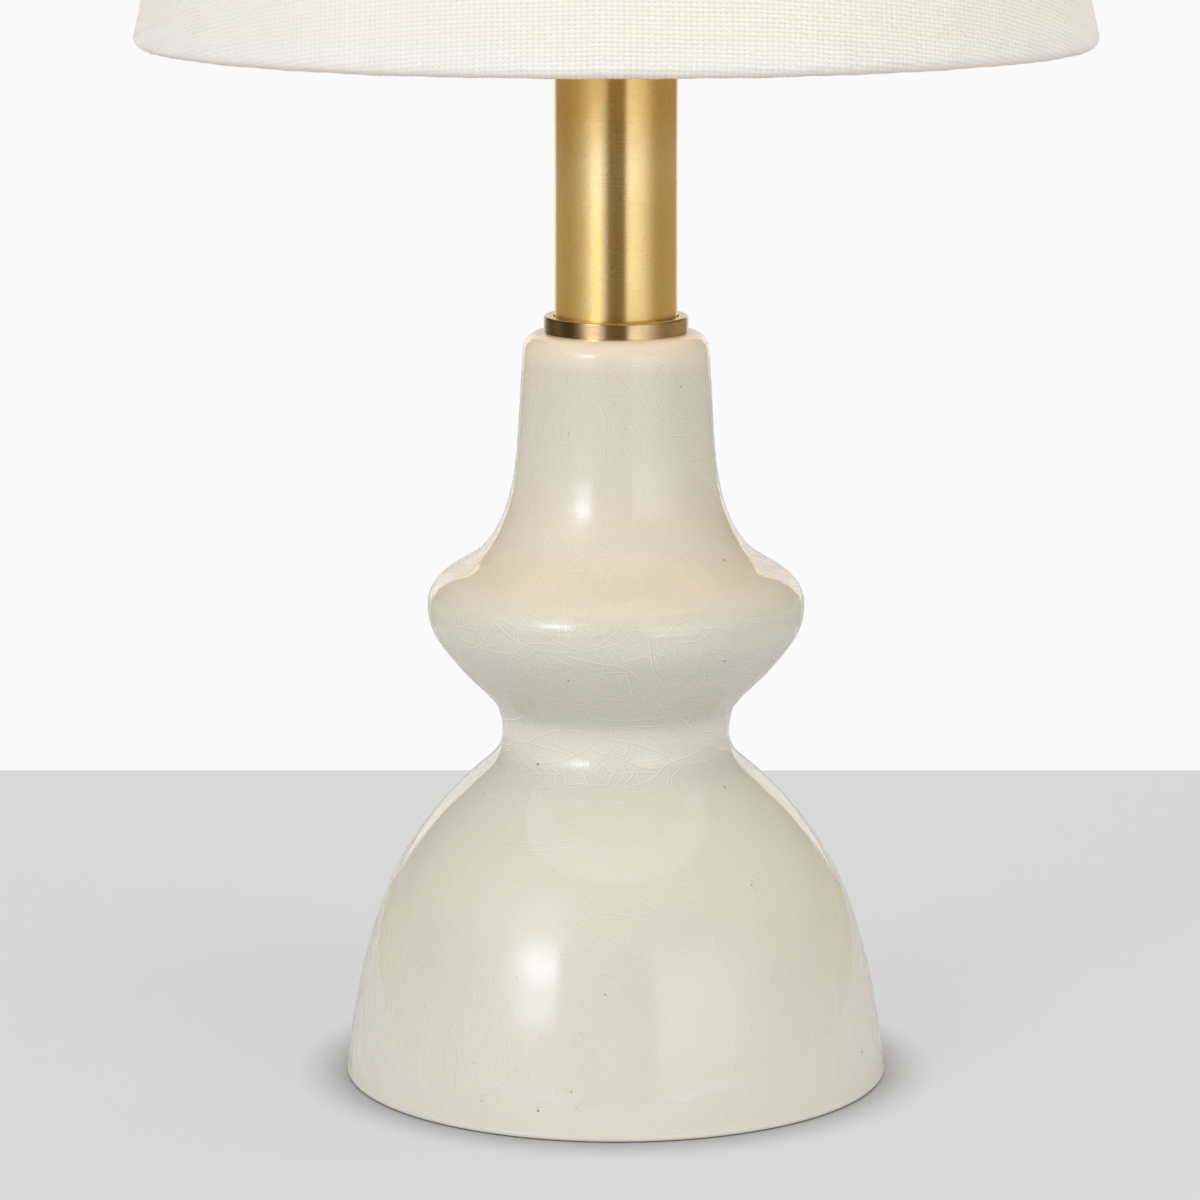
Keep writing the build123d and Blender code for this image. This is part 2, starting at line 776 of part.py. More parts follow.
bulb_cap_inner = bulb_cap_radius - bulb_cap_wall
bulb_cap = turned(
    [
        (tip_radius, bulb_cap_bottom),
        (bulb_cap_radius, bulb_cap_bottom),
        (bulb_cap_radius, bulb_cap_top),
        (bulb_cap_inner, bulb_cap_top),
        (bulb_cap_inner, bulb_cap_bottom + bulb_cap_wall),
        (tip_radius, bulb_cap_bottom + bulb_cap_wall),
    ]
)
bulb_insulator = turned(
    [
        (0, insulator_bottom),
        (insulator_foot_radius, insulator_bottom),
        (insulator_radius, bulb_cap_bottom),
        (0, bulb_cap_bottom),
    ]
)
bulb_contact = turned(
    [
        (0, tip_bottom),
        (tip_foot_radius, tip_bottom),
        (tip_radius, insulator_bottom),
        (0, insulator_bottom),
    ]
)
stem_foot_radius = glass_neck_radius - glass_wall - layer_gap
bulb_stem = turned(
    [
        (0, glass_bottom),
        (stem_foot_radius, glass_bottom),
        (stem_radius, glass_bottom + stem_flare_height),
        (stem_radius, stem_top),
        (0, stem_top),
    ]
)
lead_top = (filament_length / 2 - filament_radius, 0, filament_centre)
lead_foot = (lead_spacing, 0, stem_top + lead_radius)
with BuildPart() as bulb_filament:
    with BuildLine() as lead_path:
        Line(lead_foot, lead_top)
    with BuildSketch(lead_path.line ^ 0):
        Circle(lead_radius)
    sweep()
    mirror(about=Plane.YZ)
    with BuildSketch(Plane.YZ):
        with Locations((0, filament_centre)):
            Circle(filament_radius)
    extrude(amount=filament_length / 2, both=True)

# Shade: linen cover folded round both rings, with notches for the spider's arms
fold_inner = fold_radius - fabric_thickness
hem_depth = 2 * fold_radius
hem_inner_depth = hem_depth - fabric_thickness
arm_slot_width = 2 * (arm_wire_radius + turn_clearance)
arm_slot_inner = top_ring_radius - hem_depth
arm_slot_depth = hem_depth + ring_wire_radius
with BuildPart() as shade_fabric:
    with BuildSketch(Plane.XZ):
        with BuildLine():
            outer_face = Line(wall_point(0, 0), wall_point(wall_length, 0))
            top_fold = ThreePointArc(
                outer_face @ 1,
                wall_point(wall_length + fold_radius, fold_radius),
                wall_point(wall_length, hem_depth),
            )
            top_hem = Polyline(
                top_fold @ 1,
                wall_point(wall_length - hem_length, hem_depth),
                wall_point(wall_length - hem_length, hem_inner_depth),
                wall_point(wall_length, hem_inner_depth),
            )
            top_fold_inside = ThreePointArc(
                top_hem @ 1,
                wall_point(wall_length + fold_inner, fold_radius),
                wall_point(wall_length, fabric_thickness),
            )
            inner_face = Line(top_fold_inside @ 1, wall_point(0, fabric_thickness))
            bottom_fold_inside = ThreePointArc(
                inner_face @ 1,
                wall_point(-fold_inner, fold_radius),
                wall_point(0, hem_inner_depth),
            )
            bottom_hem = Polyline(
                bottom_fold_inside @ 1,
                wall_point(hem_length, hem_inner_depth),
                wall_point(hem_length, hem_depth),
                wall_point(0, hem_depth),
            )
            ThreePointArc(
                bottom_hem @ 1,
                wall_point(-fold_radius, fold_radius),
                outer_face @ 0,
            )
        make_face()
    revolve(axis=Axis.Z)
    with BuildSketch(Plane.XY.offset(top_ring_height)):
        with PolarLocations(arm_slot_inner + arm_slot_depth / 2, arm_count, arm_first_angle):
            Rectangle(arm_slot_depth, arm_slot_width)
    extrude(amount=-2 * hem_length, mode=Mode.SUBTRACT)

liner_near = fabric_thickness + layer_gap
liner_far = liner_near + shade_liner_thickness
shade_liner = turned(
    [
        wall_point(0, liner_near),
        wall_point(wall_length, liner_near),
        wall_point(wall_length, liner_far),
        wall_point(0, liner_far),
    ]
)

# Wire rings: the bottom one alone, the top one welded to the spider's arms and hub
with BuildPart() as shade_bottom_ring:
    with BuildSketch(Plane.XZ):
        with Locations((bottom_ring_radius, bottom_ring_height)):
            Circle(ring_wire_radius)
    revolve(axis=Axis.Z)

with BuildPart() as shade_spider:
    with BuildSketch(Plane.XZ):
        with Locations((top_ring_radius, top_ring_height)):
            Circle(ring_wire_radius)
    revolve(axis=Axis.Z)
    for arm in range(arm_count):
        turn = radians(arm_first_angle + 360 * arm / arm_count)
        arm_plane = Plane((0, 0, 0), x_dir=(cos(turn), sin(turn), 0), z_dir=(sin(turn), -cos(turn), 0))
        with BuildLine(arm_plane):
            FilletPolyline(
                (top_ring_radius, top_ring_height),
                (top_ring_radius, arm_centre),
                (hub_washer_radius - arm_end, arm_centre),
                radius=arm_bend,
            )
        with BuildSketch(Plane.XY.offset(top_ring_height)):
            with Locations((top_ring_radius * cos(turn), top_ring_radius * sin(turn))):
                Circle(arm_wire_radius)
        sweep()
    with BuildSketch(Plane.XY.offset(stud_flange_top)):
        Circle(hub_washer_radius)
    extrude(amount=hub_washer_thickness)
    with BuildSketch(Plane.XY.offset(stud_flange_top)):
        Circle(stud_thread_radius + turn_clearance)
    extrude(amount=hub_washer_thickness, mode=Mode.SUBTRACT)

# Finial: a turned knob on the harp's stud
finial_bore_radius = stud_thread_radius + turn_clearance
finial_bore_top = stud_top + turn_clearance
ball_start = hub_washer_top + finial_neck_height
ball_centre = ball_start + sqrt(finial_ball_radius**2 - finial_neck_radius**2)
ball_end = ball_centre + sqrt(finial_ball_radius**2 - finial_tip_radius**2)
with BuildPart() as finial:
    with BuildSketch(Plane.XZ):
        with BuildLine():
            finial_foot = Polyline(
                (0, finial_bore_top),
                (finial_bore_radius, finial_bore_top),
                (finial_bore_radius, hub_washer_top),
                (finial_base_radius, hub_washer_top),
                (finial_base_radius, hub_washer_top + finial_base_height - finial_edge),
                (finial_base_radius - finial_edge, hub_washer_top + finial_base_height),
                (finial_neck_radius, hub_washer_top + finial_base_height),
                (finial_neck_radius, ball_start),
            )
            finial_ball = ThreePointArc(
                finial_foot @ 1,
                (finial_ball_radius, ball_centre),
                (finial_tip_radius, ball_end),
            )
            finial_tip = Spline(
                finial_ball @ 1,
                (0, ball_end + finial_tip_height),
                tangents=((0, 1), (-1, 0)),
            )
            Line(finial_tip @ 1, finial_foot @ 0)
        make_face()
    revolve(axis=Axis.Z)

pieces = {
    "ceramic_body": ceramic_body,
    "base_felt": base_felt,
    "cord_bushing": cord_bushing,
    "base_cushion_washer": base_cushion_washer,
    "base_washer": base_washer,
    "base_lock_washer": base_lock_washer,
    "base_nut": base_nut,
    "lamp_pipe": lamp_pipe,
    "column_collar": column_collar,
    "column_tube": column_tube,
    "column_cap": column_cap,
    "column_nut": column_nut,
    "harp_saddle": harp_saddle,
    "harp_wire": harp_wire,
    "harp_stud": harp_stud,
    "harp_sleeve_left": harp_sleeve_left,
    "harp_sleeve_right": harp_sleeve_right,
    "socket_cap": socket_cap,
    "socket_set_screw": socket_set_screw,
    "socket_shell": socket_shell,
    "socket_liner": socket_liner,
    "socket_body": socket_body,
    "terminal_screws": terminal_screws,
    "socket_screw_shell": socket_screw_shell,
    "socket_centre_contact": socket_centre_contact,
    "switch_shaft": switch_shaft,
    "switch_knob": switch_knob,
    "bulb_glass": bulb_glass,
    "bulb_cap": bulb_cap,
    "bulb_insulator": bulb_insulator,
    "bulb_contact": bulb_contact,
    "bulb_stem": bulb_stem,
    "bulb_filament": bulb_filament,
    "shade_fabric": shade_fabric,
    "shade_liner": shade_liner,
    "shade_bottom_ring": shade_bottom_ring,
    "shade_spider": shade_spider,
    "finial": finial,
}
os.makedirs("parts", exist_ok=True)
for name, piece in pieces.items():
    piece.part.label = name
    export_step(piece.part, f"parts/{name}.step")
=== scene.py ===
"""Accent lamp: its looks, its cloth and the studio round it."""

import itertools
import json
import math
import random

import bmesh
import bpy
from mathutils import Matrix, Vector, interpolate, noise
from mathutils.bvhtree import BVHTree


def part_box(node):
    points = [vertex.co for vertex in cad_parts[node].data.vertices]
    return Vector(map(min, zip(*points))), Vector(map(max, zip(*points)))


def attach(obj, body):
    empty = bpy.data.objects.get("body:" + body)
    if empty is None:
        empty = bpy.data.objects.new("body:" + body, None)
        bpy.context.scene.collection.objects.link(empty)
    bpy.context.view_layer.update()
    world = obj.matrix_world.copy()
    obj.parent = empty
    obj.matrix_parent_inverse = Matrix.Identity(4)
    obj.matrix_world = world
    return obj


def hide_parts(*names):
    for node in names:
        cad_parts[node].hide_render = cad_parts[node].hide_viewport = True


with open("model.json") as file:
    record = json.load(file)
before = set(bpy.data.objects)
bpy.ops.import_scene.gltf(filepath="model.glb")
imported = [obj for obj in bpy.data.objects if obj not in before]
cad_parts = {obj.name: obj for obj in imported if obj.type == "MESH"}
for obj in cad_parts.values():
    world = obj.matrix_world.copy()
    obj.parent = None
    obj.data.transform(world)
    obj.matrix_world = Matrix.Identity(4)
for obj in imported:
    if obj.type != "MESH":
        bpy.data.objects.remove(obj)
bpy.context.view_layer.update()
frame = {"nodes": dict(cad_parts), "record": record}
nodes = frame["nodes"]
scene = bpy.context.scene
scene.view_settings.view_transform = "Standard"

# Camera at the photograph's viewing angle
camera_place = (-0.0034, -1.020, 0.2906)
camera_pitch = 10.437
camera_lens = 145.86

# Shade sizes, in metres
shade_low_radius = 0.10045
shade_high_radius = 0.06345
fabric_thickness = 0.0005
hem_leg = 0.008
warp_pitch = 0.00113
weft_pitch = 0.00087
cloth_steps = 1112
seam_width = 0.011
seam_lift = 0.00045

# Shade's lowest and highest point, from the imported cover
shade_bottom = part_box("shade_fabric")[0].z
shade_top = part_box("shade_fabric")[1].z

# Heights on the ceramic body
dome_top = 0.068
belt_height = 0.105

# Felt under the foot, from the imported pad
felt_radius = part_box("base_felt")[1].x
felt_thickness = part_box("base_felt")[1].z

# Points round a turned ring
ring_steps = 720

# Crackle lines: the way from point to point, the seed of their draws and the number of tries
crack_step = 0.0010
crack_seed = 41
long_line_tries = 9000
rung_tries = 50000

# Studio
floor_edge = 0.297
floor_tone = (0.6804, 0.6846, 0.6930)
backdrop_white = 0.956
world_light = 0.45
lamp_reach = 1.4


def aim(obj, target):
    """Turns a lamp or camera to look at a point."""
    direction = Vector(target) - obj.location
    obj.rotation_euler = direction.to_track_quat("-Z", "Y").to_euler()


def around(azimuth, elevation, distance, centre=(0, 0, 0.13)):
    """A point seen from the lamp's middle: azimuth 0 is the camera's side, positive to its right."""
    a = math.radians(azimuth)
    e = math.radians(elevation)
    offset = Vector((math.sin(a) * math.cos(e), -math.cos(a) * math.cos(e), math.sin(e)))
    return Vector(centre) + offset * distance


def add_object(name, data):
    obj = bpy.data.objects.new(name, data)
    scene.collection.objects.link(obj)
    return obj


def seen_rays(tree):
    """1 for rays from the camera or off shiny and clear surfaces, and 0 for the others."""
    path = tree.nodes.new("ShaderNodeLightPath").outputs
    share = path["Is Camera Ray"]
    for name in ("Is Glossy Ray", "Is Transmission Ray"):
        node = tree.nodes.new("ShaderNodeMath")
        node.operation = "MAXIMUM"
        tree.links.new(share, node.inputs[0])
        tree.links.new(path[name], node.inputs[1])
        share = node.outputs[0]
    return share


class Look:
    """A procedural material, built by short calls that each add a node."""

    def __init__(self, name, **settings):
        self.material = bpy.data.materials.new(name)
        self.material.use_nodes = True
        self.tree = self.material.node_tree
        self.shader = self.tree.nodes["Principled BSDF"]
        self.place = self.add("ShaderNodeTexCoord").outputs["Object"]
        self.set(**settings)

    def set(self, **settings):
        for name, value in settings.items():
            self.feed(self.shader.inputs[name.replace("_", " ")], value)

    def feed(self, socket, value):
        if isinstance(value, bpy.types.NodeSocket):
            self.tree.links.new(value, socket)
        elif socket.type == "RGBA" and len(value) == 3:
            socket.default_value = (*value, 1)
        else:
            socket.default_value = value

    def add(self, kind, values=None, **properties):
        node = self.tree.nodes.new(kind)
        for name, value in properties.items():
            setattr(node, name, value)
        for name, value in (values or {}).items():
            self.feed(node.inputs[name], value)
        return node

    def math(self, operation, *values, clamp=False):
        node = self.add("ShaderNodeMath", operation=operation, use_clamp=clamp)
        for socket, value in zip(node.inputs, values):
            self.feed(socket, value)
        return node.outputs[0]

    def times(self, first, second):
        return self.math("MULTIPLY", first, second)

    def bell(self, value, middle, width):
        """A soft hump, 1 at the middle."""
        step = self.math("DIVIDE", self.math("SUBTRACT", value, middle), width)
        return self.math("EXPONENT", self.times(self.times(step, step), -1.0))

    def azimuth(self):
        """Degrees round the lamp's axis: 0 on the camera's side, positive to its right."""
        x, y, _ = self.split(self.place)
        return self.math("DEGREES", self.math("ARCTAN2", x, self.times(y, -1.0)))

    def vector(self, operation, *values):
        node = self.add("ShaderNodeVectorMath", operation=operation)
        for socket, value in zip(node.inputs, values):
            self.feed(socket, value)
        return node.outputs[0]

    def stretch(self, scale, place=None):
        return self.vector("MULTIPLY", place or self.place, scale)

    def split(self, vector):
        return self.add("ShaderNodeSeparateXYZ", {"Vector": vector}).outputs

    def join(self, x, y, z=0.0):
        return self.add("ShaderNodeCombineXYZ", {"X": x, "Y": y, "Z": z}).outputs[0]

    def noise(self, scale, detail=3.0, rough=0.5, place=None):
        values = {"Vector": place or self.place, "Scale": scale, "Detail": detail, "Roughness": rough}
        return self.add("ShaderNodeTexNoise", values).outputs["Fac"]

    def noise_offset(self, scale, reach, place=None):
        """Coordinates pushed about by a smooth noise, at most by reach."""
        where = place or self.place
        values = {"Vector": where, "Scale": scale, "Detail": 2.0}
        colour = self.add("ShaderNodeTexNoise", values).outputs["Color"]
        centred = self.vector("SUBTRACT", colour, (0.5, 0.5, 0.5))
        return self.vector("ADD", where, self.scaled(centred, 2 * reach))

    def scaled(self, vector, amount):
        node = self.add("ShaderNodeVectorMath", operation="SCALE")
        self.feed(node.inputs[0], vector)
        self.feed(node.inputs["Scale"], amount)
        return node.outputs[0]

    def spots(self, scale):
        """Scattered dots: the distance from the nearest one, and that dot's own random numbers."""
        node = self.add("ShaderNodeTexVoronoi", {"Vector": self.place, "Scale": scale}, feature="F1")
        return node.outputs["Distance"], self.split(node.outputs["Color"])

    def range(self, value, low, high, to_low=0.0, to_high=1.0, smooth=True):
        node = self.add("ShaderNodeMapRange", interpolation_type="SMOOTHSTEP" if smooth else "LINEAR")
        for socket, item in zip(node.inputs, (value, low, high, to_low, to_high)):
            self.feed(socket, item)
        return node.outputs[0]

    def mix(self, share, first, second):
        node = self.add("ShaderNodeMix", data_type="RGBA")
        self.feed(node.inputs["Factor"], share)
        self.feed(node.inputs[6], first)
        self.feed(node.inputs[7], second)
        return node.outputs[2]

    def bump(self, height, depth, strength=1.0, normal=None):
        """Surface relief: height 0 to 1 stands for depth in metres."""
        values = {"Height": height, "Distance": depth, "Strength": strength}
        if normal is not None:
            values["Normal"] = normal
        return self.add("ShaderNodeBump", values).outputs[0]

    def show(self, surface):
        """Shows another shader in place of the main one."""
        self.feed(self.tree.nodes["Material Output"].inputs["Surface"], surface)


def glaze_look():
    """Cream and celadon crackle glaze over a pale body."""
    look = Look("crackle_glaze", Roughness=0.05, IOR=1.5)
    height = look.split(look.place)[2]
    up = look.split(look.add("ShaderNodeNewGeometry").outputs["Normal"])[2]
    # Broad tone: cream, with celadon in random clouds and on down-facing faces, where it is partly painted
    # shade
    clouds = look.range(look.noise(24.0, 3.0), 0.40, 0.70, 0.0, 0.35)
    down_facing_glaze_and_shade = look.range(up, 0.3, -0.8)
    celadon_and_shade = look.math("MULTIPLY_ADD", down_facing_glaze_and_shade, 0.75, clouds, clamp=True)
    tone = look.mix(celadon_and_shade, (0.706, 0.680, 0.578), (0.636, 0.634, 0.550))
    # Peach on the shoulder's upward faces: a painted warm glow from the shade
    shoulder_painted_glow = look.times(look.range(height, 0.096, 0.116), look.range(up, -0.2, 1.0))
    tone = look.mix(look.times(shoulder_painted_glow, 0.42), tone, (0.760, 0.665, 0.500))
    low = look.times(look.range(height, 0.040, 0.002), 0.6)
    tone = look.mix(low, tone, (0.765, 0.735, 0.660))
    # Lighter band round the waist: a painted highlight
    waist_painted_highlight = look.times(look.range(height, 0.069, 0.073), look.range(height, 0.081, 0.076))
    tone = look.mix(look.times(waist_painted_highlight, 0.9), tone, (0.790, 0.765, 0.665))
    # Lighter, warmer band at the lip: painted light
    lip_painted_light = look.times(look.range(height, 0.1525, 0.1575), 0.6)
    tone = look.mix(lip_painted_light, tone, (0.870, 0.800, 0.690))
    # Crackle lines, marked on the crackle mesh: above 0 their pale line, below 0 a painted shadow beside
    # it
    craze = look.add("ShaderNodeAttribute", attribute_name="craze").outputs["Fac"]
    light = look.math("MULTIPLY", craze, 0.78, clamp=True)
    painted_shadow = look.math("MULTIPLY", craze, -0.42, clamp=True)
    tone = look.mix(light, tone, (0.940, 0.925, 0.880))
    tone = look.mix(painted_shadow, tone, (0.400, 0.330, 0.240))
    # Pinholes and fine speckle
    distance, draw = look.spots(130.0)
    pin = look.times(look.range(distance, 0.056, 0.026), look.range(draw[0], 0.66, 0.68))
    tone = look.mix(look.times(pin, 0.8), tone, (0.220, 0.150, 0.090))
    distance, draw = look.spots(700.0)
    dot = look.times(look.range(distance, 0.30, 0.12), look.range(draw[1], 0.74, 0.90))
    tone = look.mix(look.times(dot, 0.14), tone, (0.560, 0.400, 0.280))
    look.set(Base_Color=tone, Normal=look.bump(look.noise(85.0, 2.0), 0.00012, 0.25))
    return look.material


def brass_look(name, colour, dark, rough, anisotropic, lines, painted_sheen_height=None, painted_reflections=()):
    """Satin brass with fine turning lines round its axis and a little tarnish.

    Painted sheen height is the height of a paler band, a painted reflection, with painted shade above it.
    Painted reflections lists dark patches, painted reflections of the dark studio: azimuth and width in
    degrees, and share.
    """
    look = Look(name, Metallic=1.0, Anisotropic=anisotropic, Anisotropic_Rotation=0.25)
    look.set(Tangent=look.add("ShaderNodeTangent", direction_type="RADIAL", axis="Z").outputs[0])
    brushed = look.noise(1.0, 4.0, 0.7, place=look.stretch((60.0, 60.0, lines)))
    grain = look.noise(900.0, 2.0, 0.6)
    broad = look.noise(38.0, 4.0, 0.6)
    tarnish = look.range(broad, 0.42, 0.72)
    tone = look.mix(look.times(tarnish, 0.42), colour, dark)
    tone = look.mix(look.range(brushed, 0.35, 0.68, 0.0, 0.05), tone, dark)
    tone = look.mix(look.range(grain, 0.40, 0.75, 0.0, 0.12), tone, dark)
    if painted_sheen_height:
        # Darker towards the top, under the shade: painted shade; a paler band at the sheen height: painted
        # reflection
        height = look.math("ADD", look.split(look.place)[2], look.times(broad, 0.02))
        upper = look.range(height, painted_sheen_height - 0.006, painted_sheen_height + 0.016)
        tone = look.mix(look.times(upper, 0.60), tone, dark)
        pale = look.bell(height, painted_sheen_height, 0.008)
        tone = look.mix(look.times(pale, 0.22), tone, (0.90, 0.78, 0.52))
    # Dark patches by azimuth from the camera's side: painted reflections of the dark studio
    azimuth = look.azimuth()
    for middle, width, share in painted_reflections:
        off = look.math("ABSOLUTE", look.math("SUBTRACT", azimuth, middle))
        tone = look.mix(look.range(off, width, 0, 0, share), tone, (0.100, 0.058, 0.025))
    distance, _ = look.spots(140.0)
    pick = look.range(look.noise(110.0, 1.0), 0.62, 0.66)
    spot = look.times(look.range(distance, 0.050, 0.025), pick)
    tone = look.mix(look.times(spot, 0.6), tone, (0.16, 0.10, 0.05))
    gloss = look.range(brushed, 0.3, 0.7, rough - 0.005, rough + 0.005)
    gloss = look.math("ADD", gloss, look.times(tarnish, 0.03))
    relief = look.bump(brushed, 0.00001, 0.006)
    relief = look.bump(grain, 0.000008, 0.10, relief)
    look.set(Base_Color=tone, Roughness=gloss, Normal=relief)
    return look.material


def metal_look(name, colour, rough, wear=(0.35, 0.33, 0.30)):
    """Plain plated metal with fine scratches and handling marks."""
    look = Look(name, Metallic=1.0)
    scratch = look.noise(1.0, 3.0, 0.7, place=look.stretch((220.0, 220.0, 1400.0)))
    broad = look.noise(120.0, 3.0)
    tone = look.mix(look.range(broad, 0.45, 0.75, 0.0, 0.45), colour, wear)
    gloss = look.range(scratch, 0.3, 0.7, rough - 0.06, rough + 0.08)
    look.set(Base_Color=tone, Roughness=gloss, Normal=look.bump(scratch, 0.00002, 0.4))
    return look.material


def moulded_look(name, colour, rough):
    """Moulded plastic or rubber: slight mottling and a fine grain."""
    look = Look(name, IOR=1.5)
    mottle = look.noise(160.0, 3.0)
    fine = look.noise(900.0, 2.0)
    pale = tuple(min(1.0, c * 1.25 + 0.01) for c in colour)
    tone = look.mix(look.range(mottle, 0.35, 0.7, 0.0, 0.6), colour, pale)
    gloss = look.range(fine, 0.3, 0.7, rough - 0.05, rough + 0.07)
    look.set(Base_Color=tone, Roughness=gloss, Normal=look.bump(fine, 0.00004, 0.4))
    return look.material


def fibre_look(name, colour, pale, rough=0.95, sheen=0.4):
    """Felt and card: tangled fibres."""
    look = Look(name, Roughness=rough, Sheen_Weight=sheen, Sheen_Roughness=0.6)
    tangled = look.noise_offset(500.0, 0.0008)
    one = look.noise(1.0, 3.0, 0.7, place=look.stretch((2600.0, 700.0, 1500.0), tangled))
    two = look.noise(1.0, 3.0, 0.7, place=look.stretch((700.0, 2600.0, 1500.0), tangled))
    fibre = look.math("MAXIMUM", one, two)
    look.set(
        Base_Color=look.mix(look.range(fibre, 0.42, 0.72), colour, pale),
        Normal=look.bump(fibre, 0.0003, 0.6),
    )
    return look.material


def linen_look():
    """Plain-weave linen: threads over and under, uneven in thickness, doubled at the hem, warmer above the
    hem as a painted glow through the single cloth.
    """
    look = Look("linen", Roughness=0.92, Sheen_Weight=0.25, Sheen_Roughness=0.5)
    flat = look.add("ShaderNodeUVMap", uv_map="flat_cut").outputs[0]
    threads = look.stretch((1 / warp_pitch, 1 / weft_pitch, 1.0), flat)
    threads = look.noise_offset(0.05, 0.4, threads)
    threads = look.noise_offset(0.6, 0.06, threads)
    u, v, _ = look.split(threads)
    warp_index = look.math("FLOOR", u)
    weft_index = look.math("FLOOR", v)
    across_warp = look.math("SUBTRACT", look.math("FRACT", u), 0.5)
    across_weft = look.math("SUBTRACT", look.math("FRACT", v), 0.5)
    # Thread thickness drifts along each thread
    along_warp = look.join(look.times(warp_index, 5.37), look.times(v, 0.09))
    along_weft = look.join(look.times(u, 0.09), look.times(weft_index, 4.71))
    warp_half = look.range(look.noise(1.0, 2.0, place=along_warp), 0.3, 0.7, 0.35, 0.43)
    weft_half = look.range(look.noise(1.0, 2.0, place=along_weft), 0.3, 0.7, 0.36, 0.44)
    over = look.math("MODULO", look.math("ADD", look.math("ADD", warp_index, weft_index), 20000.0), 2.0)
    side = look.math("MULTIPLY_ADD", look.range(over, 0.4, 0.6, 0, 1, False), 2.0, -1.0)

    def thread(across, half, along, sign):
        edge = look.math("DIVIDE", across, half)
        round_top = look.math("SUBTRACT", 1.0, look.times(edge, edge), clamp=True)
        crown = look.math("SQRT", round_top)
        wave = look.math("COSINE", look.times(along, math.pi))
        lift = look.times(look.times(wave, sign), 0.45)
        raised = look.math("ADD", look.times(crown, 0.5), lift)
        inside = look.math("GREATER_THAN", round_top, 0.001)
        return look.times(look.math("ADD", raised, 0.5), inside)

    def own_shade(index):
        return look.add("ShaderNodeTexWhiteNoise", {"W": index}, noise_dimensions="1D").outputs["Value"]

    warp = thread(across_warp, warp_half, across_weft, side)
    weft = thread(across_weft, weft_half, across_warp, look.times(side, -1.0))
    cloth = look.math("MAXIMUM", warp, weft)
    fuzz = look.noise(14.0, 2.0, place=threads)
    cloth = look.math("ADD", cloth, look.times(fuzz, 0.18))
    top = look.math("GREATER_THAN", warp, weft)
    own = look.range(top, 0, 1, own_shade(weft_index), own_shade(warp_index), False)
    height = look.split(look.place)[2]
    # Cloth above the doubled hem is warmer: a painted glow of light through the single layer
    doubled = look.range(height, shade_bottom + 0.0072, shade_bottom + 0.0042)
    pale = look.mix(doubled, (0.858, 0.828, 0.748), (0.862, 0.846, 0.800))
    tone = look.mix(look.times(own, 0.35), pale, (0.862, 0.812, 0.705))
    # Darker between threads: partly the liner showing through, partly painted shade
    gap = look.range(cloth, 0.60, 0.25)
    tone = look.mix(look.times(gap, 0.75), tone, (0.680, 0.620, 0.505))
    # Darker, warmer along the bottom edge: painted shade under the hem
    edge = look.range(height, shade_bottom + 0.0012, shade_bottom + 0.0002)
    tone = look.mix(look.times(edge, 0.8), tone, (0.760, 0.660, 0.540))
    look.set(Base_Color=tone, Normal=look.bump(cloth, 0.00022, 0.7))
    return look.material


def styrene_look():
    """White shade liner, faintly clouded."""
    look = Look("shade_styrene", Roughness=0.42, IOR=1.5)
    cloud = look.noise(30.0, 3.0)
    look.set(
        Base_Color=look.mix(look.range(cloud, 0.35, 0.7), (0.86, 0.83, 0.76), (0.80, 0.765, 0.685)),
        Normal=look.bump(look.noise(500.0, 2.0), 0.00004, 0.4),
    )
    return look.material


def frost_look():
    """Bulb glass frosted inside: pale, smooth and softly shiny."""
    look = Look("bulb_frost", Roughness=0.16, IOR=1.5, Coat_Weight=0.35, Coat_Roughness=0.05)
    cloud = look.noise(70.0, 3.0)
    look.set(Base_Color=look.mix(look.range(cloud, 0.3, 0.7), (0.86, 0.85, 0.81), (0.80, 0.79, 0.74)))
    return look.material


def clear_glass_look():
    """The bulb's clear stem, with faint clouds."""
    look = Look("bulb_stem_glass", Roughness=0.04, IOR=1.5, Transmission_Weight=0.9)
    cloud = look.noise(150.0, 2.0)
    look.set(Base_Color=look.mix(look.range(cloud, 0.3, 0.7), (0.92, 0.94, 0.93), (0.86, 0.89, 0.88)))
    return look.material


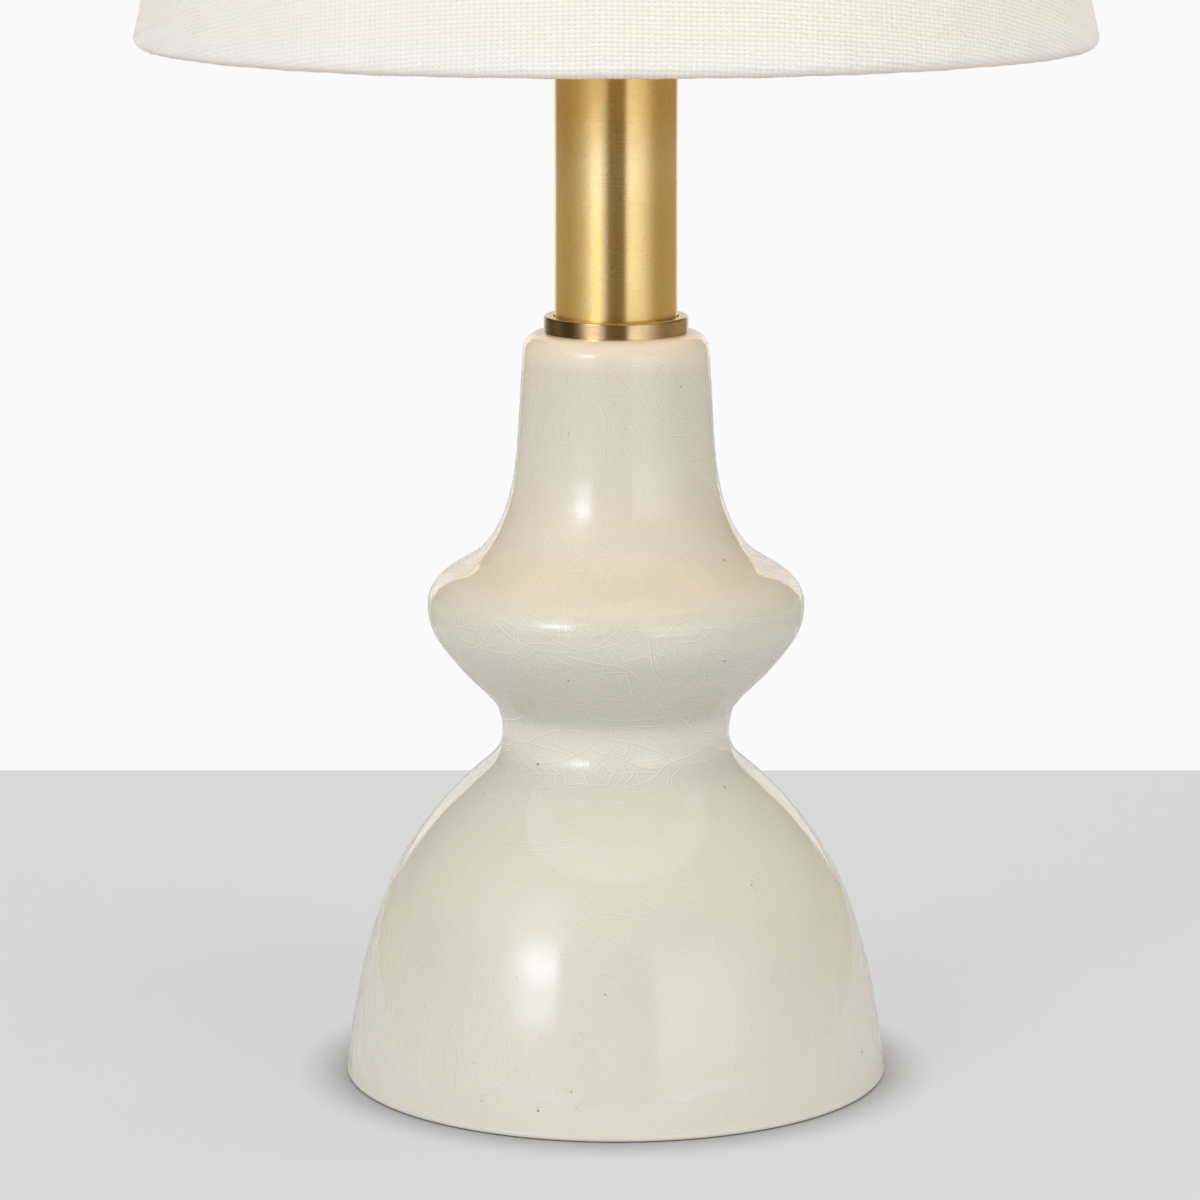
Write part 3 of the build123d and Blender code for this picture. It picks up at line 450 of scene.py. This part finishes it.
brass = (0.830, 0.600, 0.225)
brass_dark = (0.640, 0.400, 0.110)
looks = {
    "crackle_glaze": glaze_look(),
    "felt": fibre_look("felt", (0.200, 0.192, 0.180), (0.340, 0.328, 0.310)),
    "bushing_plastic": moulded_look("bushing_plastic", (0.80, 0.77, 0.69), 0.42),
    "washer_rubber": moulded_look("washer_rubber", (0.030, 0.030, 0.032), 0.75),
    "plated_steel": metal_look("plated_steel", (0.62, 0.61, 0.58), 0.32),
    "satin_brass": brass_look("satin_brass", brass, brass_dark, 0.27, 0.82, 2600.0, painted_sheen_height=0.205),
    "harp_brass": brass_look("harp_brass", (0.78, 0.57, 0.27), (0.50, 0.33, 0.13), 0.24, 0.0, 260.0),
    "socket_brass": brass_look("socket_brass", (0.79, 0.59, 0.29), (0.52, 0.35, 0.14), 0.22, 0.3, 700.0),
    "liner_card": fibre_look("liner_card", (0.12, 0.085, 0.055), (0.20, 0.15, 0.10), 0.85, 0.1),
    "socket_phenolic": moulded_look("socket_phenolic", (0.045, 0.032, 0.026), 0.38),
    "contact_metal": metal_look("contact_metal", (0.74, 0.55, 0.29), 0.30, (0.45, 0.31, 0.14)),
    "knob_phenolic": moulded_look("knob_phenolic", (0.022, 0.018, 0.016), 0.30),
    "bulb_frost": frost_look(),
    "bulb_metal": metal_look("bulb_metal", (0.70, 0.69, 0.66), 0.28),
    "bulb_insulator": moulded_look("bulb_insulator", (0.020, 0.018, 0.020), 0.22),
    "bulb_solder": metal_look("bulb_solder", (0.55, 0.55, 0.56), 0.40),
    "bulb_stem_glass": clear_glass_look(),
    "filament_metal": metal_look("filament_metal", (0.30, 0.29, 0.28), 0.45),
    "linen": linen_look(),
    "shade_styrene": styrene_look(),
    "shade_wire": metal_look("shade_wire", (0.72, 0.70, 0.66), 0.36),
}
for part in frame["record"]["subparts"]:
    data = nodes[part["node"]].data
    data.materials.clear()
    data.materials.append(looks[part["material_slot"]])

# Dark patches on the collar, painted reflections of the dark studio: azimuth and width in degrees, and
# share
dark_reflections_left = ((-42, 22, 0.95), (-64, 28, 1.00), (-84, 24, 0.80), (-38, 18, 0.80), (-9, 8, 0.30))
dark_reflections_right = ((2, 15, 0.36), (42, 26, 0.48), (74, 34, 0.50), (150, 60, 0.50))
nodes["column_collar"].data.materials[0] = brass_look(
    "collar_brass",
    (0.800, 0.575, 0.275),
    (0.490, 0.285, 0.100),
    rough=0.22,
    anisotropic=0.85,
    lines=1800.0,
    painted_reflections=dark_reflections_left + dark_reflections_right,
)


def turned(name, path, steps, shape):
    """Cloth turned round the axis: path is a loop of (radius, height, distance along the cloth)."""
    mesh = bpy.data.meshes.new(name)
    bm = bmesh.new()
    uv = bm.loops.layers.uv.new("flat_cut")
    rows = []
    for radius, height, along in path:
        row = []
        for i in range(steps):
            angle = -math.pi + 2 * math.pi * i / steps
            r, z = shape(angle, radius, height, along)
            row.append(bm.verts.new((r * math.sin(angle), -r * math.cos(angle), z)))
        rows.append(row)
    count = len(rows)
    for a in range(count):
        b = (a + 1) % count
        for i in range(steps):
            j = (i + 1) % steps
            face = bm.faces.new((rows[a][i], rows[a][j], rows[b][j], rows[b][i]))
            face.smooth = True
            corners = ((a, i), (a, i + 1), (b, i + 1), (b, i))
            for loop, (row, column) in zip(face.loops, corners):
                turn = (-math.pi + 2 * math.pi * column / steps) * lean_sine
                reach = apex_reach - path[row][2]
                loop[uv].uv = (reach * math.sin(turn), -reach * math.cos(turn))
    bm.normal_update()
    bm.to_mesh(mesh)
    bm.free()
    return add_object(name, mesh)


# Glazed body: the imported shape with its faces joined, so that the gloss runs smoothly over it
packed = nodes["ceramic_body"].data
glazed = add_object("ceramic_glazed", bpy.data.meshes.new("ceramic_glazed"))
glazed.data.from_pydata([v.co for v in packed.vertices], [], [f.vertices for f in packed.polygons])
glazed.data.materials.append(looks["crackle_glaze"])
bm = bmesh.new()
bm.from_mesh(glazed.data)
bmesh.ops.remove_doubles(bm, verts=bm.verts, dist=0.000002)
for face in bm.faces:
    face.smooth = True
bm.to_mesh(glazed.data)
bm.free()
glazed.data.set_sharp_from_angle(angle=math.radians(38))
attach(glazed, "base")
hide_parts("ceramic_body")
skin = glazed.data
skin_normals = [corner.vector.copy() for corner in skin.corner_normals]
surface = BVHTree.FromPolygons([v.co for v in skin.vertices], [list(f.vertices) for f in skin.polygons])


def skin_point(place):
    """The nearest point on the glazed body, and the body's smooth normal there."""
    spot, _, face, _ = surface.find_nearest(place)
    piece = skin.polygons[face]
    shares = interpolate.poly_3d_calc([skin.vertices[i].co for i in piece.vertices], spot)
    normal = sum((skin_normals[i] * share for i, share in zip(piece.loop_indices, shares)), Vector())
    return spot, normal.normalized()


def crack_weight(height):
    """How strongly the lines show: faint low on the dome, bold on the bowl."""
    if height < dome_top:
        return 0.80 + 0.25 * min(max((height - 0.030) / 0.025, 0), 1)
    return 1.50 if height < belt_height else 1.15


class Crackle:
    """Crack lines on a body of revolution. Each grows until it meets another, so they end in tees."""

    rows = 400
    box_size = 0.002
    wave_length = 0.0045
    flow_pull = 0.09
    touch_share = 0.72
    side_gap = 0.0014
    side_points = 7

    def __init__(self, low, high, step, seed):
        self.low = low
        self.high = high
        self.step = step
        self.random = random.Random(seed)
        self.lines = []
        self.near = {}
        self.pitch = (high - low) / self.rows
        starts = [Vector((0.2, 0, low + i * self.pitch)) for i in range(self.rows + 1)]
        self.radii = [surface.ray_cast(start, Vector((-1, 0, 0)))[0].x for start in starts]

    def radius(self, height):
        share = (height - self.low) / self.pitch
        i = min(max(int(share), 0), self.rows - 1)
        return self.radii[i] + (self.radii[i + 1] - self.radii[i]) * (share - i)

    def slope(self, height):
        """How fast the radius grows with the height."""
        i = min(max(int((height - self.low) / self.pitch), 3), self.rows - 4)
        return (self.radii[i + 4] - self.radii[i - 3]) / (7 * self.pitch)

    def spot(self, angle, height):
        r = self.radius(height)
        return Vector((r * math.sin(angle), -r * math.cos(angle), height))

    def axes(self, angle, height):
        """Unit vectors round the body, up along it and out of it."""
        slope = self.slope(height)
        east = Vector((math.cos(angle), math.sin(angle), 0))
        north = Vector((slope * math.sin(angle), -slope * math.cos(angle), 1)).normalized()
        return east, north, east.cross(north)

    def box(self, point):
        return tuple(int(c // self.box_size) for c in point)

    def clear(self, point, reach, parent=None):
        """True if no line but the parent comes within reach of the point."""
        x, y, z = self.box(point)
        for i, j, k in itertools.product((x - 1, x, x + 1), (y - 1, y, y + 1), (z - 1, z, z + 1)):
            for other, line in self.near.get((i, j, k), ()):
                if line != parent and (other - point).length_squared < reach * reach:
                    return False
        return True

    def advance(self, angle, height, heading):
        rise = self.step * math.sin(heading) / math.hypot(1, self.slope(height))
        return angle + self.step * math.cos(heading) / self.radius(height), height + rise

    def grow(self, angle, height, heading, length, bend, flow=None, parent=None):
        """Runs on until it meets a line or is long enough. Gives its points and whether it met one."""
        run = []
        turn = self.random.gauss(0, bend)
        own = self.random.uniform(0, 99)
        beside = 0
        for i in range(int(length / self.step)):
            wave = noise.noise((own, i * self.step / self.wave_length, 0))
            heading += (turn + wave * bend * 5) * self.step
            if flow:
                off = (flow(self.spot(angle, height)) - heading + math.pi / 2) % math.pi - math.pi / 2
                heading += self.flow_pull * off
            angle, height = self.advance(angle, height, heading)
            if not self.low < height < self.high:
                return run, False
            run.append((angle, height, heading))
            point = self.spot(angle, height)
            family = parent if i < 3 else None
            if not self.clear(point, self.step * self.touch_share, family):
                return run, True
            beside = 0 if self.clear(point, self.side_gap, family) else beside + 1
            if flow and beside > self.side_points:
                return run, False
        return run, False

    def keep(self, points, strength, met_first, met_last):
        for angle, height, _ in points:
            point = self.spot(angle, height)
            self.near.setdefault(self.box(point), []).append((point, len(self.lines)))
        self.lines.append((points, strength, met_first, met_last))

    def long_line(self, flow, gap, length, bend):
        """A line that grows both ways from a free spot and leans to the flow."""
        angle = self.random.uniform(-math.pi, math.pi)
        height = self.random.uniform(self.low, self.high)
        wall = self.radius(height) * math.hypot(1, self.slope(height))
        if self.random.random() > wall / 0.075 or not self.clear(self.spot(angle, height), gap):
            return
        heading = flow(self.spot(angle, height)) + self.random.gauss(0, 0.2)
        if self.random.random() < 0.12:
            heading += math.pi / 2
        reach = [length * self.random.uniform(0.3, 1.2) for _ in range(2)]
        ahead, met_last = self.grow(angle, height, heading, reach[0], bend, flow)
        behind, met_first = self.grow(angle, height, heading + math.pi, reach[1], bend, flow)
        points = [(a, h, t - math.pi) for a, h, t in reversed(behind)]
        points += [(angle, height, heading)] + ahead
        if len(points) > 4:
            self.keep(points, self.random.uniform(0.5, 1.0), met_first, met_last)

    def rung(self, gap, length, bend):
        """A line that starts square to an earlier one and runs to the next."""
        parent = self.random.randrange(len(self.lines))
        angle, height, heading = self.random.choice(self.lines[parent][0])
        heading += self.random.choice((-1, 1)) * math.pi / 2 + self.random.gauss(0, 0.25)
        far = self.advance(angle, height, heading)
        if not self.low < far[1] < self.high or not self.clear(self.spot(*far), gap, parent):
            return
        run, met = self.grow(angle, height, heading, length, bend, None, parent)
        if len(run) > 1 and met:
            self.keep([(angle, height, heading)] + run, self.random.uniform(0.35, 0.85), True, True)

    def mesh(self, name, half_width, lift):
        """Each line as a narrow strip on the body: a pale stroke with a painted shadow stroke on its lower
        right.
        """
        strokes = ((-1, 0.0), (0, 1.0), (1, -0.8), (2, 0.0))
        places, normals, marks, faces = [], [], [], []
        for points, strength, met_first, met_last in self.lines:
            # Side of the painted shadow: the lower right of each line
            middle = points[len(points) // 2][2]
            sign = 1 if 0.85 * math.cos(middle) + 0.5 * math.sin(middle) < 0 else -1
            for i, (angle, height, heading) in enumerate(points):
                east, north, out = self.axes(angle, height)
                along = east * math.cos(heading) + north * math.sin(heading)
                side = out.cross(along) * sign
                point = self.spot(angle, height)
                fade = 0.60 + 0.40 * min(max(noise.noise(point * 34) * 2 + 0.6, 0), 1)
                fade *= crack_weight(height)
                width = half_width * (1.2 if dome_top < height < belt_height else 0.95)
                fade *= 1 if met_first else min(1, i / 3)
                fade *= 1 if met_last else min(1, (len(points) - 1 - i) / 3)
                first = len(places)
                for offset, mark in strokes:
                    spot, normal = skin_point(point + side * offset * width)
                    places.append(spot + out * lift)
                    normals.append(normal)
                    marks.append(mark * strength * fade)
                if i:
                    for k in range(first, first + len(strokes) - 1):
                        corners = (k, k + 1, k + 1 - len(strokes), k - len(strokes))
                        faces.append(corners if sign > 0 else corners[::-1])
        mesh = bpy.data.meshes.new(name)
        mesh.from_pydata(places, [], faces)
        mesh.shade_smooth()
        mesh.attributes.new("craze", "FLOAT", "POINT").data.foreach_set("value", marks)
        mesh.normals_split_custom_set_from_vertices(normals)
        return mesh


def crack_flow(point):
    """Main direction of the lines: arches on the dome, level on the bowl, upright on the neck."""
    swirl = noise.noise(point * 21 + Vector((4.1, 0.3, 2.2)))
    if point.z < dome_top:
        turn = math.atan2(point.x, -point.y)
        off = (turn + math.pi / 3) % (2 * math.pi / 3) - math.pi / 3
        arch = min(max((point.z - 0.024) / 0.026, 0), 1)
        steep = math.pi / 2 * (1 - arch) + 1.3 * abs(off) * arch
        return 0.6 * swirl - math.copysign(steep, off)
    if point.z < belt_height:
        return 0.45 * swirl
    return math.pi / 2 + 1.6 * swirl


# Crackle of the glaze: long lines first, then rungs between them
crackle = Crackle(low=0.0022, high=0.1585, step=crack_step, seed=crack_seed)
for _ in range(long_line_tries):
    crackle.long_line(crack_flow, gap=0.0016, length=0.026, bend=55.0)
for _ in range(rung_tries):
    crackle.rung(gap=0.0012, length=0.010, bend=70.0)
crazed = add_object("glaze_crackle", crackle.mesh("glaze_crackle", half_width=0.00013, lift=0.000020))
crazed.data.materials.append(looks["crackle_glaze"])
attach(crazed, "base")


def lathe(name, path):
    """A closed ring: path is (radius, height) in millimetres, down the outside and back up the inside."""
    bm = bmesh.new()
    rows = []
    for radius, height in path:
        centre = (0, 0, height / 1000)
        spots = [around(360 * i / ring_steps, 0, radius / 1000, centre) for i in range(ring_steps)]
        rows.append([bm.verts.new(spot) for spot in spots])
    for high_row, low_row in zip(rows, rows[1:] + rows[:1]):
        for i in range(ring_steps):
            j = (i + 1) % ring_steps
            bm.faces.new((low_row[i], low_row[j], high_row[j], high_row[i])).smooth = True
    mesh = bpy.data.meshes.new(name)
    bm.to_mesh(mesh)
    bm.free()
    return add_object(name, mesh)


# The foot's thin rounded lip, which comes down round the felt almost to the table
foot_path = (
    (58.130, 1.25),
    (58.158, 1.19),
    (58.190, 0.80),
    (58.160, 0.50),
    (58.020, 0.26),
    (57.700, 0.15),
    (56.700, 0.15),
    (56.500, 0.30),
    (56.500, 1.22),
)
rim = lathe("foot_rim", foot_path)
rim.data.materials.append(looks["crackle_glaze"])
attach(rim, "base")

# The collar's bright turned face, which closes the gap round the tube
face_path = (
    (15.060, 163.81),
    (14.900, 163.86),
    (14.150, 163.86),
    (14.120, 163.25),
    (13.250, 163.25),
    (13.250, 163.77),
    (13.300, 163.85),
    (13.400, 163.88),
    (14.880, 163.88),
    (15.000, 163.86),
)
face = lathe("collar_face", face_path)
face.data.materials.append(looks["satin_brass"])
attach(face, "base")


def felt_disc(name, radius, thickness):
    """Hand-cut felt: a disc with a slightly wavy, fuzzy edge and an uneven underside."""
    under = ((0.5, 0), (0.85, 0), (0.97, 0))
    edge = ((0.995, 0.15), (1, 0.45), (0.996, 0.8))
    upper = ((0.985, 1), (0.85, 1), (0.5, 1))
    bm = bmesh.new()
    rows = []
    for share, level in under + edge + upper:
        row = []
        for i in range(ring_steps):
            angle = 2 * math.pi * i / ring_steps
            wave = 0.00020 * math.sin(5 * angle + 1) + 0.00012 * math.sin(13 * angle)
            fuzz = 0.00016 * noise.noise((60 * math.cos(angle), 60 * math.sin(angle), 3 * level))
            r = radius * share + (wave + fuzz - 0.0003) * share**8
            lumps = 0.00010 * abs(noise.noise((r * math.cos(angle) * 900, r * math.sin(angle) * 900, 0)))
            z = thickness * level + (lumps if level == 0 else 0)
            row.append(bm.verts.new((r * math.sin(angle), -r * math.cos(angle), z)))
        rows.append(row)
    for low_row, high_row in zip(rows, rows[1:]):
        for i in range(ring_steps):
            j = (i + 1) % ring_steps
            bm.faces.new((low_row[i], low_row[j], high_row[j], high_row[i]))
    for row, height in ((rows[0][::-1], 0.00004), (rows[-1], thickness)):
        centre = bm.verts.new((0, 0, height))
        for a, b in zip(row, row[1:] + row[:1]):
            bm.faces.new((a, b, centre))
    for face in bm.faces:
        face.smooth = True
    mesh = bpy.data.meshes.new(name)
    bm.to_mesh(mesh)
    bm.free()
    return add_object(name, mesh)


# Felt under the foot
felt = felt_disc("foot_felt", felt_radius, felt_thickness)
felt.data.materials.append(looks["felt"])
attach(felt, "base")
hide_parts("base_felt")

# Linen cover: one cone of cloth whose ends roll round the two wire rings
fold = 0.0019
half_cloth = fabric_thickness / 2
roll = fold - half_cloth
low_centre = Vector((shade_low_radius - fold, shade_bottom + fold))
high_centre = Vector((shade_high_radius - fold, shade_top - fold))
wall = high_centre - low_centre
wall_length = wall.length
lean_sine = -wall.x / wall_length
wall_out = Vector((wall.y, -wall.x)) / wall_length
wall_up = wall / wall_length
apex_reach = (shade_low_radius - fold) / lean_sine


def cloth_path():
    """The cloth's middle line: from the bottom hem's inner edge round, up and over to the top hem's."""
    points = []
    normals = []
    inner_gap = -wall_out * roll
    for i in range(6):
        t = 1 - i / 6
        points.append(low_centre + inner_gap + wall_up * (hem_leg * t))
        normals.append(-wall_out)
    for i in range(17):
        a = math.pi * i / 16
        out = -wall_out * math.cos(a) - wall_up * math.sin(a)
        points.append(low_centre + out * roll)
        normals.append(out)
    for i in range(1, 30):
        points.append(low_centre + wall_out * roll + wall * (i / 30))
        normals.append(wall_out)
    for i in range(17):
        a = math.pi * i / 16
        out = wall_out * math.cos(a) + wall_up * math.sin(a)
        points.append(high_centre + out * roll)
        normals.append(out)
    for i in range(1, 7):
        points.append(high_centre + inner_gap - wall_up * (hem_leg * i / 6))
        normals.append(-wall_out)
    return points, normals


middle, outward = cloth_path()
travel = [0.0]
for a, b in zip(middle, middle[1:]):
    travel.append(travel[-1] + (b - a).length)
start = hem_leg + math.pi * roll


def cloth_side(off):
    """One face of the cloth, that far from its middle line."""
    steps = zip(middle, outward, travel)
    return [(p.x + n.x * off, p.y + n.y * off, along - start) for p, n, along in steps]


cloth_loop = cloth_side(half_cloth) + cloth_side(-half_cloth)[::-1]


def cloth_shape(angle, radius, height, along):
    """Slight unevenness of hand-rolled, stretched cloth."""
    slow = 0.00022 * math.sin(3 * angle + 0.7) + 0.00015 * math.sin(7 * angle + 2.1)
    slow += 0.00010 * math.sin(17 * angle)
    hem = math.exp(-((along / 0.006) ** 2)) + math.exp(-(((along - wall_length) / 0.006) ** 2))
    beat = 1 + 0.6 * math.sin(37 * angle) * math.sin(11 * angle + 0.5)
    thread = 0.00006 * beat * math.cos(cloth_steps / 2 * (angle + math.pi))
    ripple = 0.00010 * math.sin(61 * angle + 0.4) * math.sin(29 * angle)
    return radius + 0.6 * slow + hem * thread, height + hem * (thread + ripple + 0.4 * slow)


cover = turned("shade_linen", cloth_loop, cloth_steps, cloth_shape)
cover.data.materials.append(looks["linen"])
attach(cover, "shade")
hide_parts("shade_fabric")


def lapped_seam(name):
    """The lap at the back: the cloth's end turned under and glued over the other end."""
    mesh = bpy.data.meshes.new(name)
    bm = bmesh.new()
    uv = bm.loops.layers.uv.new("flat_cut")
    columns = 16
    sides = []
    for sunk in (False, True):
        grid = []
        for point, normal, along in zip(middle, outward, travel):
            row = []
            for i in range(columns + 1):
                t = i / columns
                across = seam_width * (t - 0.5)
                tuck = max(0.0, (t - 0.94) / 0.06)
                lift = half_cloth + seam_lift * min(1.0, 1.6 * t) * math.sqrt(max(0.0, 1 - tuck**2))
                spot = point + normal * (half_cloth - 0.0001 if sunk else lift)
                angle = math.pi + across / spot.x
                r, z = cloth_shape(angle, spot.x, spot.y, along - start)
                corner = bm.verts.new((r * math.sin(angle), -r * math.cos(angle), z))
                row.append((corner, angle, along - start))
            grid.append(row)
        sides.append(grid)
    top, under = sides

    def panel(a, b, c, d):
        face = bm.faces.new((a[0], b[0], c[0], d[0]))
        face.smooth = True
        for loop, (_, angle, along) in zip(face.loops, (a, b, c, d)):
            reach = apex_reach - along
            loop[uv].uv = (reach * math.sin(angle * lean_sine), -reach * math.cos(angle * lean_sine))

    last = len(top) - 1
    for k in range(last):
        for i in range(columns):
            panel(top[k][i], top[k][i + 1], top[k + 1][i + 1], top[k + 1][i])
            panel(under[k][i], under[k + 1][i], under[k + 1][i + 1], under[k][i + 1])
        panel(top[k][0], top[k + 1][0], under[k + 1][0], under[k][0])
        panel(top[k][columns], under[k][columns], under[k + 1][columns], top[k + 1][columns])
    for i in range(columns):
        panel(top[0][i], under[0][i], under[0][i + 1], top[0][i + 1])
        panel(top[last][i], top[last][i + 1], under[last][i + 1], under[last][i])
    bm.normal_update()
    bm.to_mesh(mesh)
    bm.free()
    return add_object(name, mesh)


seam = lapped_seam("shade_seam")
seam.data.materials.append(looks["linen"])
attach(seam, "shade")

# Floor in two tones, as in the photograph
floor_mesh = bpy.data.meshes.new("floor")
floor_mesh.from_pydata([(-6, -6, 0), (6, -6, 0), (6, 6, 0), (-6, 6, 0)], [], [(0, 1, 2, 3)])
floor = add_object("floor", floor_mesh)


def floor_look():
    """Matt grey, white at the back, with its own light where it is seen, and a painted contact shadow
    close to the foot.
    """
    look = Look("floor", Roughness=1.0, Specular_IOR_Level=0.0)
    back = look.math("GREATER_THAN", look.split(look.place)[1], floor_edge)
    tone = look.mix(back, floor_tone, (backdrop_white,) * 3)
    look.set(Base_Color=tone)
    # Painted contact shadow: the floor's own light dims close to the foot
    near = look.add("ShaderNodeAmbientOcclusion", {"Distance": 0.0125}, samples=8).outputs["AO"]
    near = look.range(near, 0.3, 1.0, 0.10, 1.0, False)
    glow = look.add("ShaderNodeEmission", {"Color": tone, "Strength": near}).outputs[0]
    share = look.times(seen_rays(look.tree), look.math("MULTIPLY_ADD", back, 0.28, 0.72))
    mixed = look.add("ShaderNodeMixShader", {0: share, 1: look.shader.outputs[0], 2: glow})
    look.show(mixed.outputs[0])
    return look.material


floor_mesh.materials.append(floor_look())

# World: white where it is seen, dimmer as a light
world = bpy.data.worlds.new("studio")
scene.world = world
world.use_nodes = True
sky = world.node_tree.nodes["Background"]
sky.inputs["Color"].default_value = (1, 1, 1, 1)
level = world.node_tree.nodes.new("ShaderNodeMapRange")
level.inputs["To Min"].default_value = world_light
level.inputs["To Max"].default_value = backdrop_white
world.node_tree.links.new(seen_rays(world.node_tree), level.inputs["Value"])
world.node_tree.links.new(level.outputs[0], sky.inputs["Strength"])

# Surround of dim warm walls and floor with two soft boxes, seen only in reflections
wall_radius = 1.9
card_radius = 0.36
wall_steps = 180
surround_mesh = bpy.data.meshes.new("surround")
bm = bmesh.new()
rings = []
for radius, height in ((card_radius, 0.002), (wall_radius, 0.002), (wall_radius, 2.6)):
    spots = [around(360 * i / wall_steps, 0, radius, (0, 0, height)) for i in range(wall_steps)]
    rings.append([bm.verts.new(spot) for spot in spots])
for near_ring, far_ring in zip(rings, rings[1:]):
    for i in range(wall_steps):
        j = (i + 1) % wall_steps
        bm.faces.new((near_ring[i], near_ring[j], far_ring[j], far_ring[i]))
bm.to_mesh(surround_mesh)
bm.free()
surround = add_object("surround", surround_mesh)
surround.visible_camera = False
surround.visible_diffuse = False
surround.visible_transmission = False
surround.visible_volume_scatter = False
surround.visible_shadow = False


def surround_look():
    """Light from the walls by azimuth and elevation, in degrees as seen from the lamp's waist."""
    look = Look("surround")
    azimuth = look.azimuth()
    x, y, z = look.split(look.place)
    reach = look.math("SQRT", look.math("MULTIPLY_ADD", x, x, look.times(y, y)))
    elevation = look.math("DEGREES", look.math("ARCTAN2", look.math("SUBTRACT", z, 0.15), reach))

    def window(value, low, high, soft_low, soft_high):
        rise = look.range(value, low - soft_low, low + soft_low)
        fall = look.range(value, high + soft_high, high - soft_high)
        return look.times(rise, fall)

    # The key box with a dimmer tail below it and a halo, the wide fill box, and a faint one at the left
    core = look.times(window(azimuth, -47, -28, 10, 3), window(elevation, 15, 22.5, 4, 7))
    tail = look.times(window(azimuth, -47, -27, 9, 4), window(elevation, 6, 16, 3, 4))
    halo = look.times(look.bell(azimuth, -40, 17), look.bell(elevation, 22, 16))
    key = look.math("MULTIPLY_ADD", halo, 0.30, look.math("MULTIPLY_ADD", tail, 0.46, core))
    fill = look.times(window(azimuth, 18, 64, 2.5, 24), window(elevation, 0, 22, 5, 9))
    side = look.times(window(azimuth, -86, -30, 18, 5), window(elevation, 0, 46, 6, 14))
    # Two bands low down, for the brass, less where the key is
    left_band = look.times(window(azimuth, -58, -18, 24, 6), 1.60)
    left_band = look.math("SUBTRACT", left_band, look.times(look.bell(azimuth, -38, 9), 0.75))
    bands = look.math("MULTIPLY_ADD", window(azimuth, 19, 52, 6, 28), 2.15, left_band)
    bands = look.times(window(elevation, -11.5, -5, 2, 3.5), bands)
    # The bright backdrop behind the lamp, with a gold line along its edge
    turned_away = look.math("ABSOLUTE", azimuth)
    from_back = look.math("SUBTRACT", turned_away, look.range(elevation, 9, 21, 152.6, 157.0))
    edge = look.times(look.bell(from_back, 0.0, 0.9), look.range(elevation, -3, 3))
    glare = look.scaled((1.0, 0.985, 0.990), look.range(turned_away, 176, 154, 0.78, 1.40, False))
    backdrop = look.mix(look.range(elevation, -7.2, -5.8), (0.72, 0.71, 0.69), glare)
    # Dim warm walls, darker in the gap between the boxes
    gap = window(azimuth, -17, 17, 5, 5)
    dim = look.math("MULTIPLY_ADD", look.range(elevation, 6, -4), 0.37, 0.18)
    total = look.scaled(look.mix(gap, (1.0, 0.86, 0.66), (0.38, 0.30, 0.18)), dim)
    boxes = (
        (bands, 1.0, (0.84, 1.08, 1.90)),
        (fill, 1.30, (1.0, 1.0, 0.98)),
        (side, 0.50, (0.95, 1.0, 1.05)),
        (key, 5.6, (0.95, 1.0, 1.24)),
        (edge, 2.2, (1.0, 0.76, 0.42)),
    )
    for share, strength, colour in boxes:
        total = look.vector("ADD", total, look.scaled(colour, look.times(share, strength)))
    total = look.mix(look.range(from_back, 0.4, 1.6), total, backdrop)
    look.show(look.add("ShaderNodeEmission", {"Color": total, "Strength": 1.0}).outputs[0])
    return look.material


surround_mesh.materials.append(surround_look())


def add_lamp(data, place):
    lamp = add_object(data.name, data)
    lamp.location = place
    lamp.visible_glossy = False
    lamp.visible_camera = False
    return lamp


def soft_light(name, azimuth, elevation, size, power, colour=(1, 1, 1)):
    """A soft box aimed at the lamp's middle."""
    data = bpy.data.lights.new(name, "AREA")
    data.shape = "RECTANGLE"
    data.size, data.size_y = size
    data.energy = power
    data.color = colour
    aim(add_lamp(data, around(azimuth, elevation, lamp_reach)), (0, 0, 0.13))


soft_light("key", -42, 28, (0.8, 1.0), 7.75)
soft_light("fill", 40, 26, (0.9, 1.1), 5.45)
soft_light("over", 0, 86, (1.4, 1.4), 3.75)
soft_light("back_left", -152, 34, (0.9, 1.0), 1.6)
soft_light("back_right", 152, 34, (0.9, 1.0), 1.6)
soft_light("side_left", -100, 18, (0.6, 0.8), 0.6, (1.0, 0.80, 0.62))
soft_light("side_right", 84, 70, (0.6, 0.8), 4.6, (1.0, 0.84, 0.68))

# Warm glow that comes down from the shade
for i in range(3):
    data = bpy.data.lights.new(f"glow_{i}", "POINT")
    data.energy = 0.035
    data.color = (1.0, 0.66, 0.34)
    data.shadow_soft_size = 0.02
    add_lamp(data, around(120 * i, 0, 0.055, (0, 0, 0.262)))

# Camera
lens = bpy.data.cameras.new("camera")
lens.lens = camera_lens
lens.sensor_width = 36.0
lens.clip_start = 0.01
lens.clip_end = 50.0
camera = add_object("camera", lens)
camera.location = camera_place
camera.rotation_euler = (math.radians(90 - camera_pitch), 0, 0)
scene.camera = camera
